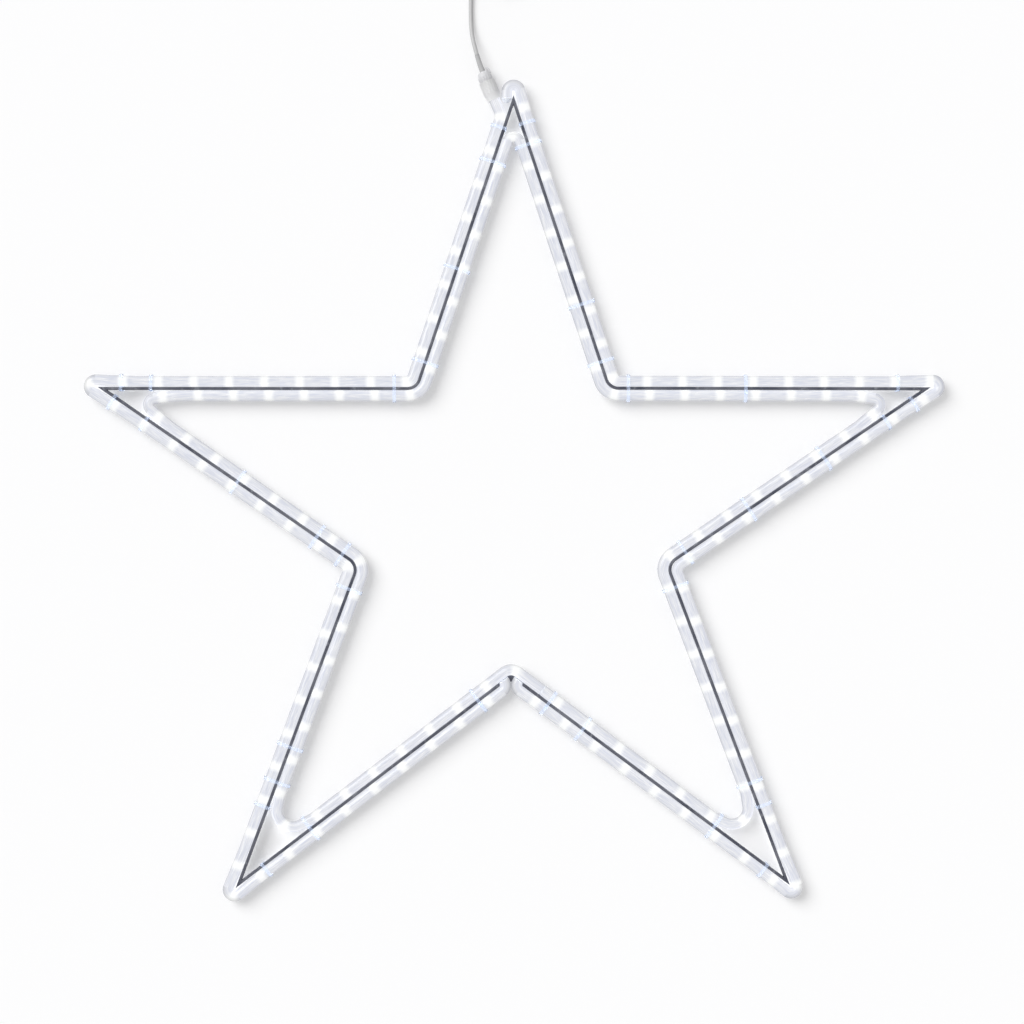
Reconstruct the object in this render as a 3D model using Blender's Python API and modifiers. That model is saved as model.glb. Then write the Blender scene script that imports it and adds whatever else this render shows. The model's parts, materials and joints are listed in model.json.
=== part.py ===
"""LED Christmas star: a steel strip bent into a star, with clear rope light tied along both its sides.

Metres, +Z up. The star lies on its back, its top point towards +Y and its lit face up. The sides run
anticlockwise from the top corner, and a place on a side is its distance from the point of the star
and its offset from the strip's middle line, positive outside the star.
"""

import math

import bmesh
import bpy
from mathutils import Matrix, Vector

# Corners of the strip's middle line, from the middle of the line through the two arms
TOP_RISE = 0.3404
SHOULDER_HALF = 0.1138
ARM_HALF = 0.4858
WAIST_HALF = 0.1825
WAIST_DROP = 0.2082
FOOT_HALF = 0.3232
FOOT_DROP = 0.5827
CROTCH_DROP = 0.3388

# How far each corner was bent away from an even star, anticlockwise from the top
CORNER_ERRORS = (
    (0.0009, 0),
    (0.0001, 0),
    (0.0017, 0.0001),
    (-0.0003, -0.0002),
    (0, -0.0017),
    (-0.0020, 0),
    (0, 0.0018),
    (-0.0002, 0.0003),
    (0.0018, -0.0003),
    (0.0001, 0.0004),
)

# Strip and the plate that joins its two ends
STRIP_THICKNESS = 0.0032
STRIP_DEPTH = 0.013
STRIP_BEND = 0.0153
JOINER_THICKNESS = 0.002
JOINER_HALF_WIDTH = 0.004
JOINER_TO_TIE = 0.0015
JOINER_GUSSET = 0.008

# Rope light
ROPE_RADIUS = 0.0065
BORE_RADIUS = 0.0032
OUTER_TIP_BEND = 0.0079
OUTER_VALLEY_BEND = 0.0095
TOP_LOOP_BEYOND = 0.0101
LOOP_BEYOND = 0.0085
OUTER_SETTLE = 0.04
NARROW_TURN = 0.0075
ARM_TURN_DEPTH = 0.0645
FOOT_TURN = 0.019
FOOT_TURN_DEPTH = 0.1073
INNER_SETTLE = 0.012
ARM_INNER_SETTLE = 0.028
ARCH_BEND = 0.0145
END_STRAIGHT = 0.0002
SPLICE_PLACE = 0.04
TAIL_PLACE = 0.0002

# Lamps inside the rope light
LED_PITCH = 0.0333
LED_LENGTH = 0.0052
LED_RADIUS = 0.0022
WIRE_RADIUS = 0.0008
STRING_INSET = 0.01

# Plugs that close and join the rope light
PLUG_RADIUS = 0.0063
PLUG_FLANGE = 0.0009
PLUG_STEM_RADIUS = 0.0019
PLUG_STEM = 0.006
SHORT_STEM = 0.002
TAPER_LENGTH = 0.0052
TAPER_RADIUS = 0.0025

# Cable ties round the strip and the rope light
TIE_THICKNESS = 0.0012
TIE_WIDTH = 0.004
TIE_HEAD_LENGTH = 0.0054
TIE_HEAD_HEIGHT = 0.0038
FRONT_HEAD_SHARE = 0.58
NEAR_SHARE = 1.25

# Power connector, with distances along its axis from the bend where the rope light leaves the strip
BEND_PLACE = 0.022
CONNECTOR_BEND = 0.016
CONNECTOR_TILT = math.radians(22.5)
SLEEVE_START = 0.020
SLEEVE_RADIUS = 0.0077
BODY_FULL = 0.029
BODY_TOP = 0.0436
BODY_RADIUS = 0.0095
BODY_CHAMFER = 0.0008
SOCKET_DEPTH = 0.02
ROPE_INTO_SOCKET = 0.017
NECK_RADIUS = 0.006
NECK_LENGTH = 0.0084
RING_RADIUS = 0.0088
RING_LENGTH = 0.0116
RING_CHAMFER = 0.001
RELIEF_RADIUS = 0.0034
RELIEF_END_RADIUS = 0.0028
RELIEF_LENGTH = 0.021
CABLE_TILT = math.radians(15)
CONTACT_RADIUS = 0.0063
CONTACT_THICKNESS = 0.0022
PIN_RADIUS = 0.0005
PIN_SPACING = 0.0024
PIN_LENGTH = 0.006

# Power cable, its coil and its plug
CABLE_RADIUS = 0.0025
COIL_TURNS = 7.25
COIL_PITCH = 0.00545
COIL_INNER = 0.0195
COIL_CENTRE_Y = 0.512
COIL_POINTS = 24
COIL_LIFT = 0.0013
COIL_EXIT = 0.025
COIL_TIE_WIDTH = 0.005
COIL_TIE_THICKNESS = 0.001
MAINS_PLUG_LENGTH = 0.036
MAINS_PLUG_BACK = 0.01
MAINS_PLUG_HALF = 0.0125
MAINS_PLUG_NOSE = 0.0115
MAINS_PLUG_NECK = 0.0045
MAINS_PLUG_THICKNESS = 0.014
MAINS_PIN_RADIUS = 0.002
MAINS_PIN_LENGTH = 0.019
MAINS_PIN_SPACING = 0.019

CLEARANCE = 0.0003
CUT_OVERRUN = 0.0005
ARC_STEP = math.radians(18)
TURN_STEPS = 16
SMALL_TURN_STEPS = 8

# Ties along each side, as shares of its length counted from the point of the star
TIE_SHARES = (
    (0.10, 0.215, 0.585, 0.91),
    (0.06, 0.155, 0.93),
    (0.05, 0.175, 0.53, 0.84, 0.94),
    (0.24, 0.32, 0.43, 0.925),
    (0.09, 0.265, 0.88),
    (0.075, 0.265, 0.74, 0.865),
    (0.235, 0.31, 0.93),
    (0.06, 0.165, 0.395, 0.685, 0.93),
    (0.09, 0.57, 0.94),
    (0.085, 0.155, 0.71, 0.91),
)

# The ties whose heads are at the front, by side and place in its row: 1 over the outer rope, -1 the inner
FRONT_HEADS = {(4, 2): 1, (5, 3): 1, (8, 1): -1}

# Route of the free cable from its relief to the coil, in metres from the middle of the arm line
CABLE_ROUTE = (
    (-0.0463, 0.4091, 0.0096),
    (-0.0484, 0.4210, 0.0062),
    (-0.0493, 0.4330, 0.0037),
    (-0.0496, 0.4460, 0.0027),
    (-0.0496, 0.4610, 0.0026),
    (-0.0495, 0.4790, 0.0028),
    (-0.0494, 0.4940, 0.0034),
)

ROPE_OFFSET = STRIP_THICKNESS / 2 + CLEARANCE + ROPE_RADIUS
TIE_INNER = ROPE_RADIUS + CLEARANCE
TIE_OUTER = TIE_INNER + TIE_THICKNESS
ROPE_HEIGHT = TIE_HEAD_HEIGHT + TIE_OUTER

EVEN_CORNERS = [
    Vector((0, TOP_RISE)),
    Vector((-SHOULDER_HALF, 0)),
    Vector((-ARM_HALF, 0)),
    Vector((-WAIST_HALF, -WAIST_DROP)),
    Vector((-FOOT_HALF, -FOOT_DROP)),
    Vector((0, -CROTCH_DROP)),
    Vector((FOOT_HALF, -FOOT_DROP)),
    Vector((WAIST_HALF, -WAIST_DROP)),
    Vector((ARM_HALF, 0)),
    Vector((SHOULDER_HALF, 0)),
]
CORNERS = [even + Vector(error) for even, error in zip(EVEN_CORNERS, CORNER_ERRORS)]
SIDES = len(CORNERS)
TOP, CROTCH = 0, 5

for leftover in list(bpy.data.objects):
    bpy.data.objects.remove(leftover, do_unlink=True)

PARTS = bpy.data.collections.new("led_christmas_star")
CUTTERS = bpy.data.collections.new("cutters")
for collection in (PARTS, CUTTERS):
    bpy.context.scene.collection.children.link(collection)
ORIGIN = bpy.data.objects.new("star_origin", None)
PARTS.objects.link(ORIGIN)


def make_material(name, color, roughness, metallic=0, transmission=0, glow=0):
    material = bpy.data.materials.new(name)
    material.use_nodes = True
    material.diffuse_color = (*color, 1)
    shader = material.node_tree.nodes["Principled BSDF"]
    shader.inputs["Base Color"].default_value = (*color, 1)
    shader.inputs["Roughness"].default_value = roughness
    shader.inputs["Metallic"].default_value = metallic
    shader.inputs["Transmission Weight"].default_value = transmission
    shader.inputs["Emission Color"].default_value = (*color, 1)
    shader.inputs["Emission Strength"].default_value = glow
    return material


STEEL = make_material("dark_steel", (0.045, 0.05, 0.065), 0.45, metallic=0.8)
ROPE_PVC = make_material("clear_rope_pvc", (0.86, 0.88, 0.95), 0.18, transmission=0.7)
PLUG_PVC = make_material("clear_plug_pvc", (0.82, 0.84, 0.88), 0.25, transmission=0.6)
LAMP = make_material("lamp_string", (0.9, 0.94, 1.0), 0.3, glow=2)
TIE_NYLON = make_material("clear_nylon", (0.74, 0.8, 0.92), 0.3, transmission=0.5)
CONNECTOR_PVC = make_material("frosted_grey_pvc", (0.62, 0.63, 0.64), 0.4, transmission=0.3)
RING_PVC = make_material("grey_pvc", (0.5, 0.5, 0.51), 0.45)
CABLE_PVC = make_material("cable_grey_pvc", (0.55, 0.55, 0.55), 0.4)
SEAL_RUBBER = make_material("seal_rubber", (0.4, 0.4, 0.41), 0.7)
CONTACT_METAL = make_material("contact_brass", (0.75, 0.62, 0.32), 0.3, metallic=1)


def keep(obj, material=None, collection=PARTS):
    """Puts an object in its collection, under the star's origin."""
    collection.objects.link(obj)
    obj.parent = ORIGIN
    if material is None:
        obj.hide_render = True
        obj.display_type = "WIRE"
    else:
        obj.data.materials.clear()
        obj.data.materials.append(material)
    return obj


def flat(vector):
    return Vector((vector[0], vector[1], ROPE_HEIGHT))


def left_of(direction):
    return Vector((-direction.y, direction.x))


def side_direction(side):
    return (CORNERS[(side + 1) % SIDES] - CORNERS[side % SIDES]).normalized()


def side_length(side):
    return (CORNERS[(side + 1) % SIDES] - CORNERS[side]).length


def on_side(side, distance, offset):
    """A place on a side, by its distance from the star's point."""
    direction = side_direction(side)
    start = CORNERS[side] + direction * distance
    if side % 2:
        start = CORNERS[(side + 1) % SIDES] - direction * distance
    return start - left_of(direction) * offset


def mitre(corner, offset):
    """Where the two sides at a corner meet once both are moved out by the offset."""
    before = -left_of(side_direction(corner - 1))
    after = -left_of(side_direction(corner))
    return CORNERS[corner] + (before + after) * offset / (1 + before.dot(after))


def outward(corner):
    return (side_direction(corner - 1) - side_direction(corner)).normalized()


def half_angle(corner):
    """Half the angle between the two sides at a point of the star."""
    return math.acos(max(-1, min(1, outward(corner).dot(side_direction(corner - 1)))))


def bend_at(point, before, after, radius):
    """The pulley that rounds a corner of a line to a radius."""
    half_turn = before.angle(after) / 2
    centre = point + (after - before).normalized() * radius / math.cos(half_turn)
    turn = 1 if before.x * after.y - before.y * after.x > 0 else -1
    return centre, radius, turn


def valley(corner, offset, radius):
    return bend_at(
        mitre(corner, offset), side_direction(corner - 1), side_direction(corner), radius
    )


def stop_at(point):
    return point, 0, 1


def belt(pulleys):
    """The line that runs round each pulley in turn: straight tangents, and arcs in equal steps."""
    legs = []
    for (centre, radius, turn), (next_centre, next_radius, next_turn) in zip(pulleys, pulleys[1:]):
        across = next_centre - centre
        tilt = math.asin((next_turn * next_radius - turn * radius) / across.length)
        along = Matrix.Rotation(-tilt, 2) @ across.normalized()
        left = left_of(along)
        start = centre - left * turn * radius
        legs.append((start, next_centre - left * next_turn * next_radius, along))
    points = [legs[0][0]]
    for (centre, radius, turn), leg, next_leg in zip(pulleys[1:], legs, legs[1:]):
        if radius == 0:
            points.append(centre)
            continue
        sweep = leg[2].angle(next_leg[2]) * turn
        steps = max(1, math.ceil(abs(sweep) / ARC_STEP))
        spoke = leg[1] - centre
        for step in range(steps + 1):
            points.append(centre + Matrix.Rotation(sweep * step / steps, 2) @ spoke)
    points.append(legs[-1][1])
    return points


def lengths_along(points):
    total = [0]
    for point, after in zip(points, points[1:]):
        total.append(total[-1] + (after - point).length)
    return total


def curve_object(name, points, radius, resolution, radii=None, cyclic=False):
    """A round tube along a line of points, with closed ends."""
    curve = bpy.data.curves.new(name, "CURVE")
    curve.dimensions = "3D"
    curve.twist_mode = "Z_UP"
    curve.bevel_depth = radius
    curve.bevel_resolution = resolution
    curve.use_fill_caps = True
    spline = curve.splines.new("POLY")
    spline.points.add(len(points) - 1)
    spline.use_cyclic_u = cyclic
    for k, point in enumerate(points):
        spline.points[k].co = (*point, 1)
        if radii:
            spline.points[k].radius = radii[k]
    spline.use_smooth = True
    return bpy.data.objects.new(name, curve)


def plate_object(name, loops, thickness):
    """A flat solid from closed outlines, the later ones holes, centred on its own middle plane."""
    curve = bpy.data.curves.new(name, "CURVE")
    curve.dimensions = "2D"
    curve.fill_mode = "BOTH"
    curve.extrude = thickness / 2
    for loop in loops:
        spline = curve.splines.new("POLY")
        spline.points.add(len(loop) - 1)
        spline.use_cyclic_u = True
        for k, point in enumerate(loop):
            spline.points[k].co = (point[0], point[1], 0, 1)
    return bpy.data.objects.new(name, curve)


def turned_object(name, profile, steps, closed=False):
    """A solid turned about local Z. The profile runs down its outer side."""
    mesh = bpy.data.meshes.new(name)
    count = len(profile)
    edges = [(k, (k + 1) % count) for k in range(count if closed else count - 1)]
    mesh.from_pydata([(radius, 0, height) for radius, height in profile], edges, [])
    obj = bpy.data.objects.new(name, mesh)
    screw = obj.modifiers.new("turn", "SCREW")
    screw.axis = "Z"
    screw.angle = math.tau
    screw.steps = steps
    screw.render_steps = steps
    screw.use_merge_vertices = True
    screw.merge_threshold = 0.00001
    return obj


def aim(obj, place, direction):
    """Puts local Z along a direction that lies flat, at a place."""
    heading = Vector((direction[0], direction[1], 0)).normalized()
    obj.rotation_mode = "QUATERNION"
    obj.rotation_quaternion = heading.to_track_quat("Z", "Y")
    obj.location = place
    return obj


def as_mesh(curve_obj):
    """The same tube as a closed mesh, for cutting."""
    CUTTERS.objects.link(curve_obj)
    bpy.context.view_layer.update()
    evaluated = curve_obj.evaluated_get(bpy.context.evaluated_depsgraph_get())
    mesh = bpy.data.meshes.new_from_object(evaluated)
    cage = bmesh.new()
    cage.from_mesh(mesh)
    bmesh.ops.remove_doubles(cage, verts=cage.verts, dist=CLEARANCE / 100)
    bmesh.ops.recalc_face_normals(cage, faces=cage.faces)
    cage.to_mesh(mesh)
    cage.free()
    obj = bpy.data.objects.new(curve_obj.name, mesh)
    obj.matrix_world = curve_obj.matrix_world
    name = curve_obj.name
    bpy.data.objects.remove(curve_obj, do_unlink=True)
    obj.name = name
    return obj


def boolean(obj, other, operation):
    modifier = obj.modifiers.new(operation.lower(), "BOOLEAN")
    modifier.operation = operation
    modifier.object = other
    modifier.solver = "EXACT"


def add_rope(name, points):
    """One length of rope light with its bore."""
    line = [flat(point) for point in points]
    rope = keep(as_mesh(curve_object(name, line, ROPE_RADIUS, 2)), ROPE_PVC)
    first = (line[0] - line[1]).normalized() * CUT_OVERRUN
    last = (line[-1] - line[-2]).normalized() * CUT_OVERRUN
    line = [line[0] + first] + line[1:-1] + [line[-1] + last]
    bore = keep(as_mesh(curve_object(name + "_bore", line, BORE_RADIUS, 0)), None, CUTTERS)
    boolean(rope, bore, "DIFFERENCE")
    rope.data.shade_smooth()
    rope.data.set_sharp_from_angle(angle=math.radians(50))
    return rope


def add_lamp_string(name, points):
    """The wires and lamps inside a length of rope light: a thin core that swells at each lamp."""
    total = lengths_along(points)
    length = total[-1]
    stations = [(STRING_INSET, 1), (length - STRING_INSET, 1)]
    lamps = int((length - 2 * STRING_INSET - LED_LENGTH) / LED_PITCH)
    first = (length - (lamps - 1) * LED_PITCH) / 2
    for lamp in range(lamps):
        centre = first + lamp * LED_PITCH
        stations += [
            (centre - LED_LENGTH / 2, 1),
            (centre, LED_RADIUS / WIRE_RADIUS),
            (centre + LED_LENGTH / 2, 1),
        ]
    near = [centre for centre, swell in stations if swell > 1]
    for place in total:
        beside = min(abs(place - centre) for centre in near)
        if STRING_INSET < place < length - STRING_INSET and beside > LED_LENGTH * 0.7:
            stations.append((place, 1))
    stations.sort()
    line = [flat(point_at(points, total, place)) for place, _ in stations]
    radii = [swell for _, swell in stations]
    keep(curve_object(name, line, WIRE_RADIUS, 0, radii), LAMP)
    print(f"{name}: {lamps} lamps in {length:.3f} m of rope light")


def point_at(points, total, distance):
    for k in range(1, len(points)):
        if distance <= total[k] or k == len(points) - 1:
            share = (distance - total[k - 1]) / (total[k] - total[k - 1])
            return points[k - 1].lerp(points[k], share)


# Strip

STRIP_CUT = (ROPE_OFFSET + ROPE_RADIUS + CLEARANCE / 2) / side_direction(CROTCH).x
LEFT_STRIP_END = CORNERS[CROTCH] - side_direction(CROTCH - 1) * STRIP_CUT
RIGHT_STRIP_END = CORNERS[CROTCH] + side_direction(CROTCH) * STRIP_CUT


def strip_edge(offset):
    """One long edge of the strip, from its right end anticlockwise to its left end."""
    start = RIGHT_STRIP_END - left_of(side_direction(CROTCH)) * offset
    end = LEFT_STRIP_END - left_of(side_direction(CROTCH - 1)) * offset
    pulleys = [stop_at(start)]
    for step in range(1, SIDES):
        corner = (CROTCH + step) % SIDES
        if corner % 2:
            pulleys.append(valley(corner, offset, STRIP_BEND - offset))
        else:
            pulleys.append(stop_at(mitre(corner, offset)))
    return belt(pulleys + [stop_at(end)])


def add_strip():
    outline = strip_edge(STRIP_THICKNESS / 2) + strip_edge(-STRIP_THICKNESS / 2)[::-1]
    strip = keep(plate_object("frame_strip", [outline], STRIP_DEPTH), STEEL)
    strip.location.z = ROPE_HEIGHT


def add_joiner():
    """The gusset plate behind the strip's two ends."""
    left, right = CROTCH - 1, CROTCH
    to_tie = min((1 - max(TIE_SHARES[side])) * side_length(side) for side in (left, right))
    arm = to_tie - TIE_WIDTH / 2 - JOINER_TO_TIE
    reach = side_length(CROTCH) - arm
    gusset = side_length(CROTCH) - JOINER_GUSSET
    half = JOINER_HALF_WIDTH
    outline = [
        on_side(right, reach, half),
        on_side(right, reach, -half),
        mitre(CROTCH, -half),
        on_side(left, reach, -half),
        on_side(left, reach, half),
        on_side(left, gusset, half),
        on_side(right, gusset, half),
    ]
    joiner = keep(plate_object("frame_joiner", [outline], JOINER_THICKNESS), STEEL)
    joiner.location.z = ROPE_HEIGHT - ROPE_RADIUS - CLEARANCE - JOINER_THICKNESS / 2


# Rope light

LEAD_OUT = Vector((-math.sin(CONNECTOR_TILT), math.cos(CONNECTOR_TILT)))
BEND_POINT = on_side(TOP, BEND_PLACE, ROPE_OFFSET)


def along_lead(distance):
    """A place on the connector's axis."""
    return BEND_POINT + LEAD_OUT * distance


def outer_loop(corner):
    """The outer rope's way round one point of the star."""
    beyond = TOP_LOOP_BEYOND if corner == TOP else LOOP_BEYOND
    return CORNERS[corner] + outward(corner) * beyond, OUTER_TIP_BEND, 1


def outer_way(side):
    return stop_at(on_side(side, OUTER_SETTLE, ROPE_OFFSET))


def outer_left_line():
    pulleys = [
        stop_at(along_lead(SLEEVE_START + ROPE_INTO_SOCKET)),
        bend_at(BEND_POINT, -LEAD_OUT, side_direction(TOP), CONNECTOR_BEND),
    ]
    for corner in range(1, CROTCH):
        if corner % 2:
            pulleys.append(valley(corner, ROPE_OFFSET, OUTER_VALLEY_BEND))
        else:
            pulleys += [outer_way(corner - 1), outer_loop(corner), outer_way(corner)]
    along = side_direction(CROTCH - 1)
    end = LEFT_STRIP_END + along * ROPE_OFFSET + left_of(along) * END_STRAIGHT
    return belt(pulleys + [(LEFT_STRIP_END, ROPE_OFFSET, 1), stop_at(end)])


def outer_right_line():
    along = side_direction(CROTCH)
    start = RIGHT_STRIP_END - along * ROPE_OFFSET + left_of(along) * END_STRAIGHT
    pulleys = [stop_at(start), (RIGHT_STRIP_END, ROPE_OFFSET, 1)]
    for corner in range(CROTCH + 1, SIDES):
        if corner % 2:
            pulleys.append(valley(corner, ROPE_OFFSET, OUTER_VALLEY_BEND))
        else:
            pulleys += [outer_way(corner - 1), outer_loop(corner), outer_way(corner)]
    pulleys += [outer_way(SIDES - 1), outer_loop(TOP)]
    return belt(pulleys + [stop_at(on_side(TOP, TAIL_PLACE, ROPE_OFFSET))])


def inner_turn(corner):
    """How far down a point the inner rope turns back, how tightly, and how soon it settles again."""
    if corner == TOP:
        snug = (NARROW_TURN + ROPE_OFFSET + CLEARANCE) / math.sin(half_angle(corner))
        return snug, NARROW_TURN, INNER_SETTLE
    if corner in (CROTCH - 1, CROTCH + 1):
        return FOOT_TURN_DEPTH, FOOT_TURN, INNER_SETTLE
    return ARM_TURN_DEPTH, NARROW_TURN, ARM_INNER_SETTLE


def inner_settle(corner):
    """The distance from a point at which the inner rope lies along the strip again."""
    depth, _, settle = inner_turn(corner)
    return depth * math.cos(half_angle(corner)) + settle


def inner_line():
    crotch_side = side_length(CROTCH) - SPLICE_PLACE
    gap = PLUG_FLANGE / 2 + CLEARANCE
    pulleys = [stop_at(on_side(CROTCH, crotch_side - gap, -ROPE_OFFSET))]
    for step in range(1, SIDES):
        corner = (CROTCH + step) % SIDES
        if corner % 2:
            pulleys.append(valley(corner, -ROPE_OFFSET, STRIP_BEND + ROPE_OFFSET))
            continue
        depth, radius, _ = inner_turn(corner)
        before = on_side((corner - 1) % SIDES, inner_settle(corner), -ROPE_OFFSET)
        after = on_side(corner, inner_settle(corner), -ROPE_OFFSET)
        turn = (CORNERS[corner] - outward(corner) * depth, radius, 1)
        pulleys += [stop_at(before), turn, stop_at(after)]
    pulleys.append(valley(CROTCH, -ROPE_OFFSET, ARCH_BEND))
    return belt(pulleys + [stop_at(on_side(CROTCH, crotch_side + gap, -ROPE_OFFSET))])


def stem_profile(stem):
    """A stem that fits the bore below a flange that closes the end."""
    return [
        (0, PLUG_FLANGE),
        (PLUG_RADIUS, PLUG_FLANGE),
        (PLUG_RADIUS, 0),
        (PLUG_STEM_RADIUS, 0),
        (PLUG_STEM_RADIUS, -stem),
        (0, -stem),
    ]


def add_end_plug(name, end, before, profile):
    """Closes the end of a rope that arrives from the point before it."""
    along = (end - before).normalized()
    plug = keep(turned_object(name, profile, SMALL_TURN_STEPS), PLUG_PVC)
    aim(plug, flat(end + along * CLEARANCE), along)


def add_ropes():
    left, right, inner = outer_left_line(), outer_right_line(), inner_line()
    for name, line in (("outer_left", left), ("outer_right", right), ("inner", inner)):
        add_rope("rope_" + name, line)
        add_lamp_string("lamp_string_" + name, line)
    add_end_plug("end_plug_left", left[-1], left[-2], stem_profile(SHORT_STEM))
    add_end_plug("end_plug_right", right[0], right[1], stem_profile(SHORT_STEM))
    taper = [(0, TAPER_LENGTH), (TAPER_RADIUS, TAPER_LENGTH)] + stem_profile(PLUG_STEM)[1:]
    add_end_plug("end_plug_top", right[-1], right[-2], taper)
    splice = [(0, PLUG_STEM + PLUG_FLANGE), (PLUG_STEM_RADIUS, PLUG_STEM + PLUG_FLANGE)]
    splice += [(PLUG_STEM_RADIUS, PLUG_FLANGE)] + stem_profile(PLUG_STEM)[1:]
    add_end_plug("inner_splice", inner[-1], inner[-2], splice)
    return left, right, inner


# Ties

def arc(centre_x, radius, start, end):
    steps = round((end - start) / (2 * ARC_STEP))
    turns = [start + (end - start) * step / steps for step in range(steps + 1)]
    return [(centre_x + radius * math.cos(turn), radius * math.sin(turn)) for turn in turns]


def rope_offset(line, side, distance, way):
    """How far from the strip's middle line a rope passes at a distance from the point, if near it."""
    here = on_side(side, distance, 0)
    along = side_direction(side)
    for point, after in zip(line, line[1:]):
        reach, next_reach = (point - here).dot(along), (after - here).dot(along)
        if reach * next_reach > 0 or reach == next_reach:
            continue
        crossing = point.lerp(after, reach / (reach - next_reach))
        offset = -(crossing - here).dot(left_of(along))
        if 0 < offset * way < NEAR_SHARE * ROPE_OFFSET:
            return offset
    return None


def rope_reach(line, side, distance, way):
    """The farthest that a rope passes under a tie at a distance from the point, or None."""
    edges = (distance - TIE_WIDTH / 2, distance + TIE_WIDTH / 2)
    offsets = [rope_offset(line, side, edge, way) for edge in edges]
    return None if None in offsets else max(offsets, key=abs)


def tie_head(middle, way):
    """The head's outline, below the band or above it, to go where it is met on the way round."""
    half = TIE_HEAD_LENGTH / 2 * way
    tall = TIE_OUTER + TIE_HEAD_HEIGHT
    sides = ((half, TIE_OUTER), (half, tall), (-half, tall), (-half, TIE_OUTER))
    return [(middle + across, height * way) for across, height in sides]


def tie_loops(outer, inner, front):
    """The band's outer and inner outline, round both ropes or round the outer one and the strip."""
    loops = []
    for radius in (TIE_OUTER, TIE_INNER):
        loop = arc(outer, radius, -math.pi / 2, math.pi / 2)
        if front and radius == TIE_OUTER:
            loop += tie_head(front * FRONT_HEAD_SHARE * ROPE_OFFSET, 1)
        if inner:
            loop += arc(inner, radius, math.pi / 2, 3 * math.pi / 2)
        else:
            far = STRIP_THICKNESS / 2 + radius - ROPE_RADIUS
            loop += [(-far, radius), (-far, -radius)]
        loops.append(loop)
    if not front:
        loops[0] += tie_head(0 if inner else (outer - STRIP_THICKNESS / 2) / 2, -1)
    return loops


def add_ties(left, right, inner):
    count = 0
    for side, shares in enumerate(TIE_SHARES):
        line = left if side < CROTCH else right
        direction = side_direction(side)
        across = -left_of(direction)
        turn = Matrix((
            (across.x, 0, -direction.x),
            (across.y, 0, -direction.y),
            (0, 1, 0),
        ))
        for row, share in enumerate(shares):
            count += 1
            distance = share * side_length(side)
            outer_reach = rope_reach(line, side, distance, 1)
            inner_reach = rope_reach(inner, side, distance, -1)
            loops = tie_loops(outer_reach, inner_reach, FRONT_HEADS.get((side, row), 0))
            tie = keep(plate_object(f"cable_tie_{count:02d}", loops, TIE_WIDTH), TIE_NYLON)
            tie.matrix_local = Matrix.Translation(flat(on_side(side, distance, 0))) @ turn.to_4x4()
    print(f"{count} ties")


# Power connector

def add_connector():
    socket = SLEEVE_START + SOCKET_DEPTH
    neck_top = BODY_TOP + NECK_LENGTH
    body_profile = [
        (0, neck_top),
        (NECK_RADIUS, neck_top),
        (NECK_RADIUS, BODY_TOP),
        (BODY_RADIUS - BODY_CHAMFER, BODY_TOP),
        (BODY_RADIUS, BODY_TOP - BODY_CHAMFER),
        (BODY_RADIUS, BODY_FULL),
        (SLEEVE_RADIUS, SLEEVE_START),
        (ROPE_RADIUS + CLEARANCE, SLEEVE_START),
        (ROPE_RADIUS + CLEARANCE, socket),
        (0, socket),
    ]
    body = keep(turned_object("connector_body", body_profile, TURN_STEPS), CONNECTOR_PVC)
    aim(body, flat(BEND_POINT), LEAD_OUT)

    ring_start = BODY_TOP + CLEARANCE
    ring_top = ring_start + RING_LENGTH
    wall = neck_top + CLEARANCE
    ring_profile = [
        (RELIEF_RADIUS + CLEARANCE, ring_top),
        (RING_RADIUS - RING_CHAMFER, ring_top),
        (RING_RADIUS, ring_top - RING_CHAMFER),
        (RING_RADIUS, ring_start),
        (NECK_RADIUS + CLEARANCE, ring_start),
        (NECK_RADIUS + CLEARANCE, wall),
        (RELIEF_RADIUS + CLEARANCE, wall),
    ]
    lowered = [(radius, height - ring_start) for radius, height in ring_profile]
    ring = keep(turned_object("locking_ring", lowered, TURN_STEPS, closed=True), RING_PVC)
    aim(ring, flat(along_lead(ring_start)), LEAD_OUT)

    add_contacts(SLEEVE_START + ROPE_INTO_SOCKET + CLEARANCE)
    return add_relief(wall, ring_top + CLEARANCE)


def add_relief(seat, leaves):
    """The tapered sleeve that leaves the ring with the cable in it and bends with the cable."""
    line = [along_lead(seat), along_lead(leaves)]
    radii = [1, 1]
    for step in range(SMALL_TURN_STEPS):
        share = (step + 1 / 2) / SMALL_TURN_STEPS
        tilt = CONNECTOR_TILT + (CABLE_TILT - CONNECTOR_TILT) * share
        way = Vector((-math.sin(tilt), math.cos(tilt)))
        line.append(line[-1] + way * RELIEF_LENGTH / SMALL_TURN_STEPS)
        thin = (step + 1) / SMALL_TURN_STEPS
        radii.append(1 - thin * (1 - RELIEF_END_RADIUS / RELIEF_RADIUS))
    spine = [flat(point) for point in line]
    keep(curve_object("cable_gland", spine, RELIEF_RADIUS, 2, radii), SEAL_RUBBER)
    return spine[-2:]


def add_contacts(place):
    """The block in the socket whose two pins press into the rope's core."""
    disc = [(0, CONTACT_THICKNESS), (CONTACT_RADIUS, CONTACT_THICKNESS), (CONTACT_RADIUS, 0), (0, 0)]
    block = keep(turned_object("connector_contacts", disc, SMALL_TURN_STEPS), CONTACT_METAL)
    aim(block, flat(along_lead(place)), LEAD_OUT)
    pin = [(0, CONTACT_THICKNESS / 2), (PIN_RADIUS, CONTACT_THICKNESS / 2)]
    pin += [(PIN_RADIUS, -PIN_LENGTH), (0, -PIN_LENGTH)]
    for end in (-1, 1):
        post = turned_object(f"contact_pin_{end}", pin, SMALL_TURN_STEPS)
        keep(post, None, CUTTERS)
        shift = left_of(LEAD_OUT) * end * PIN_SPACING / 2
        aim(post, flat(along_lead(place) + shift), LEAD_OUT)
        boolean(block, post, "UNION")


# Power cable

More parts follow.
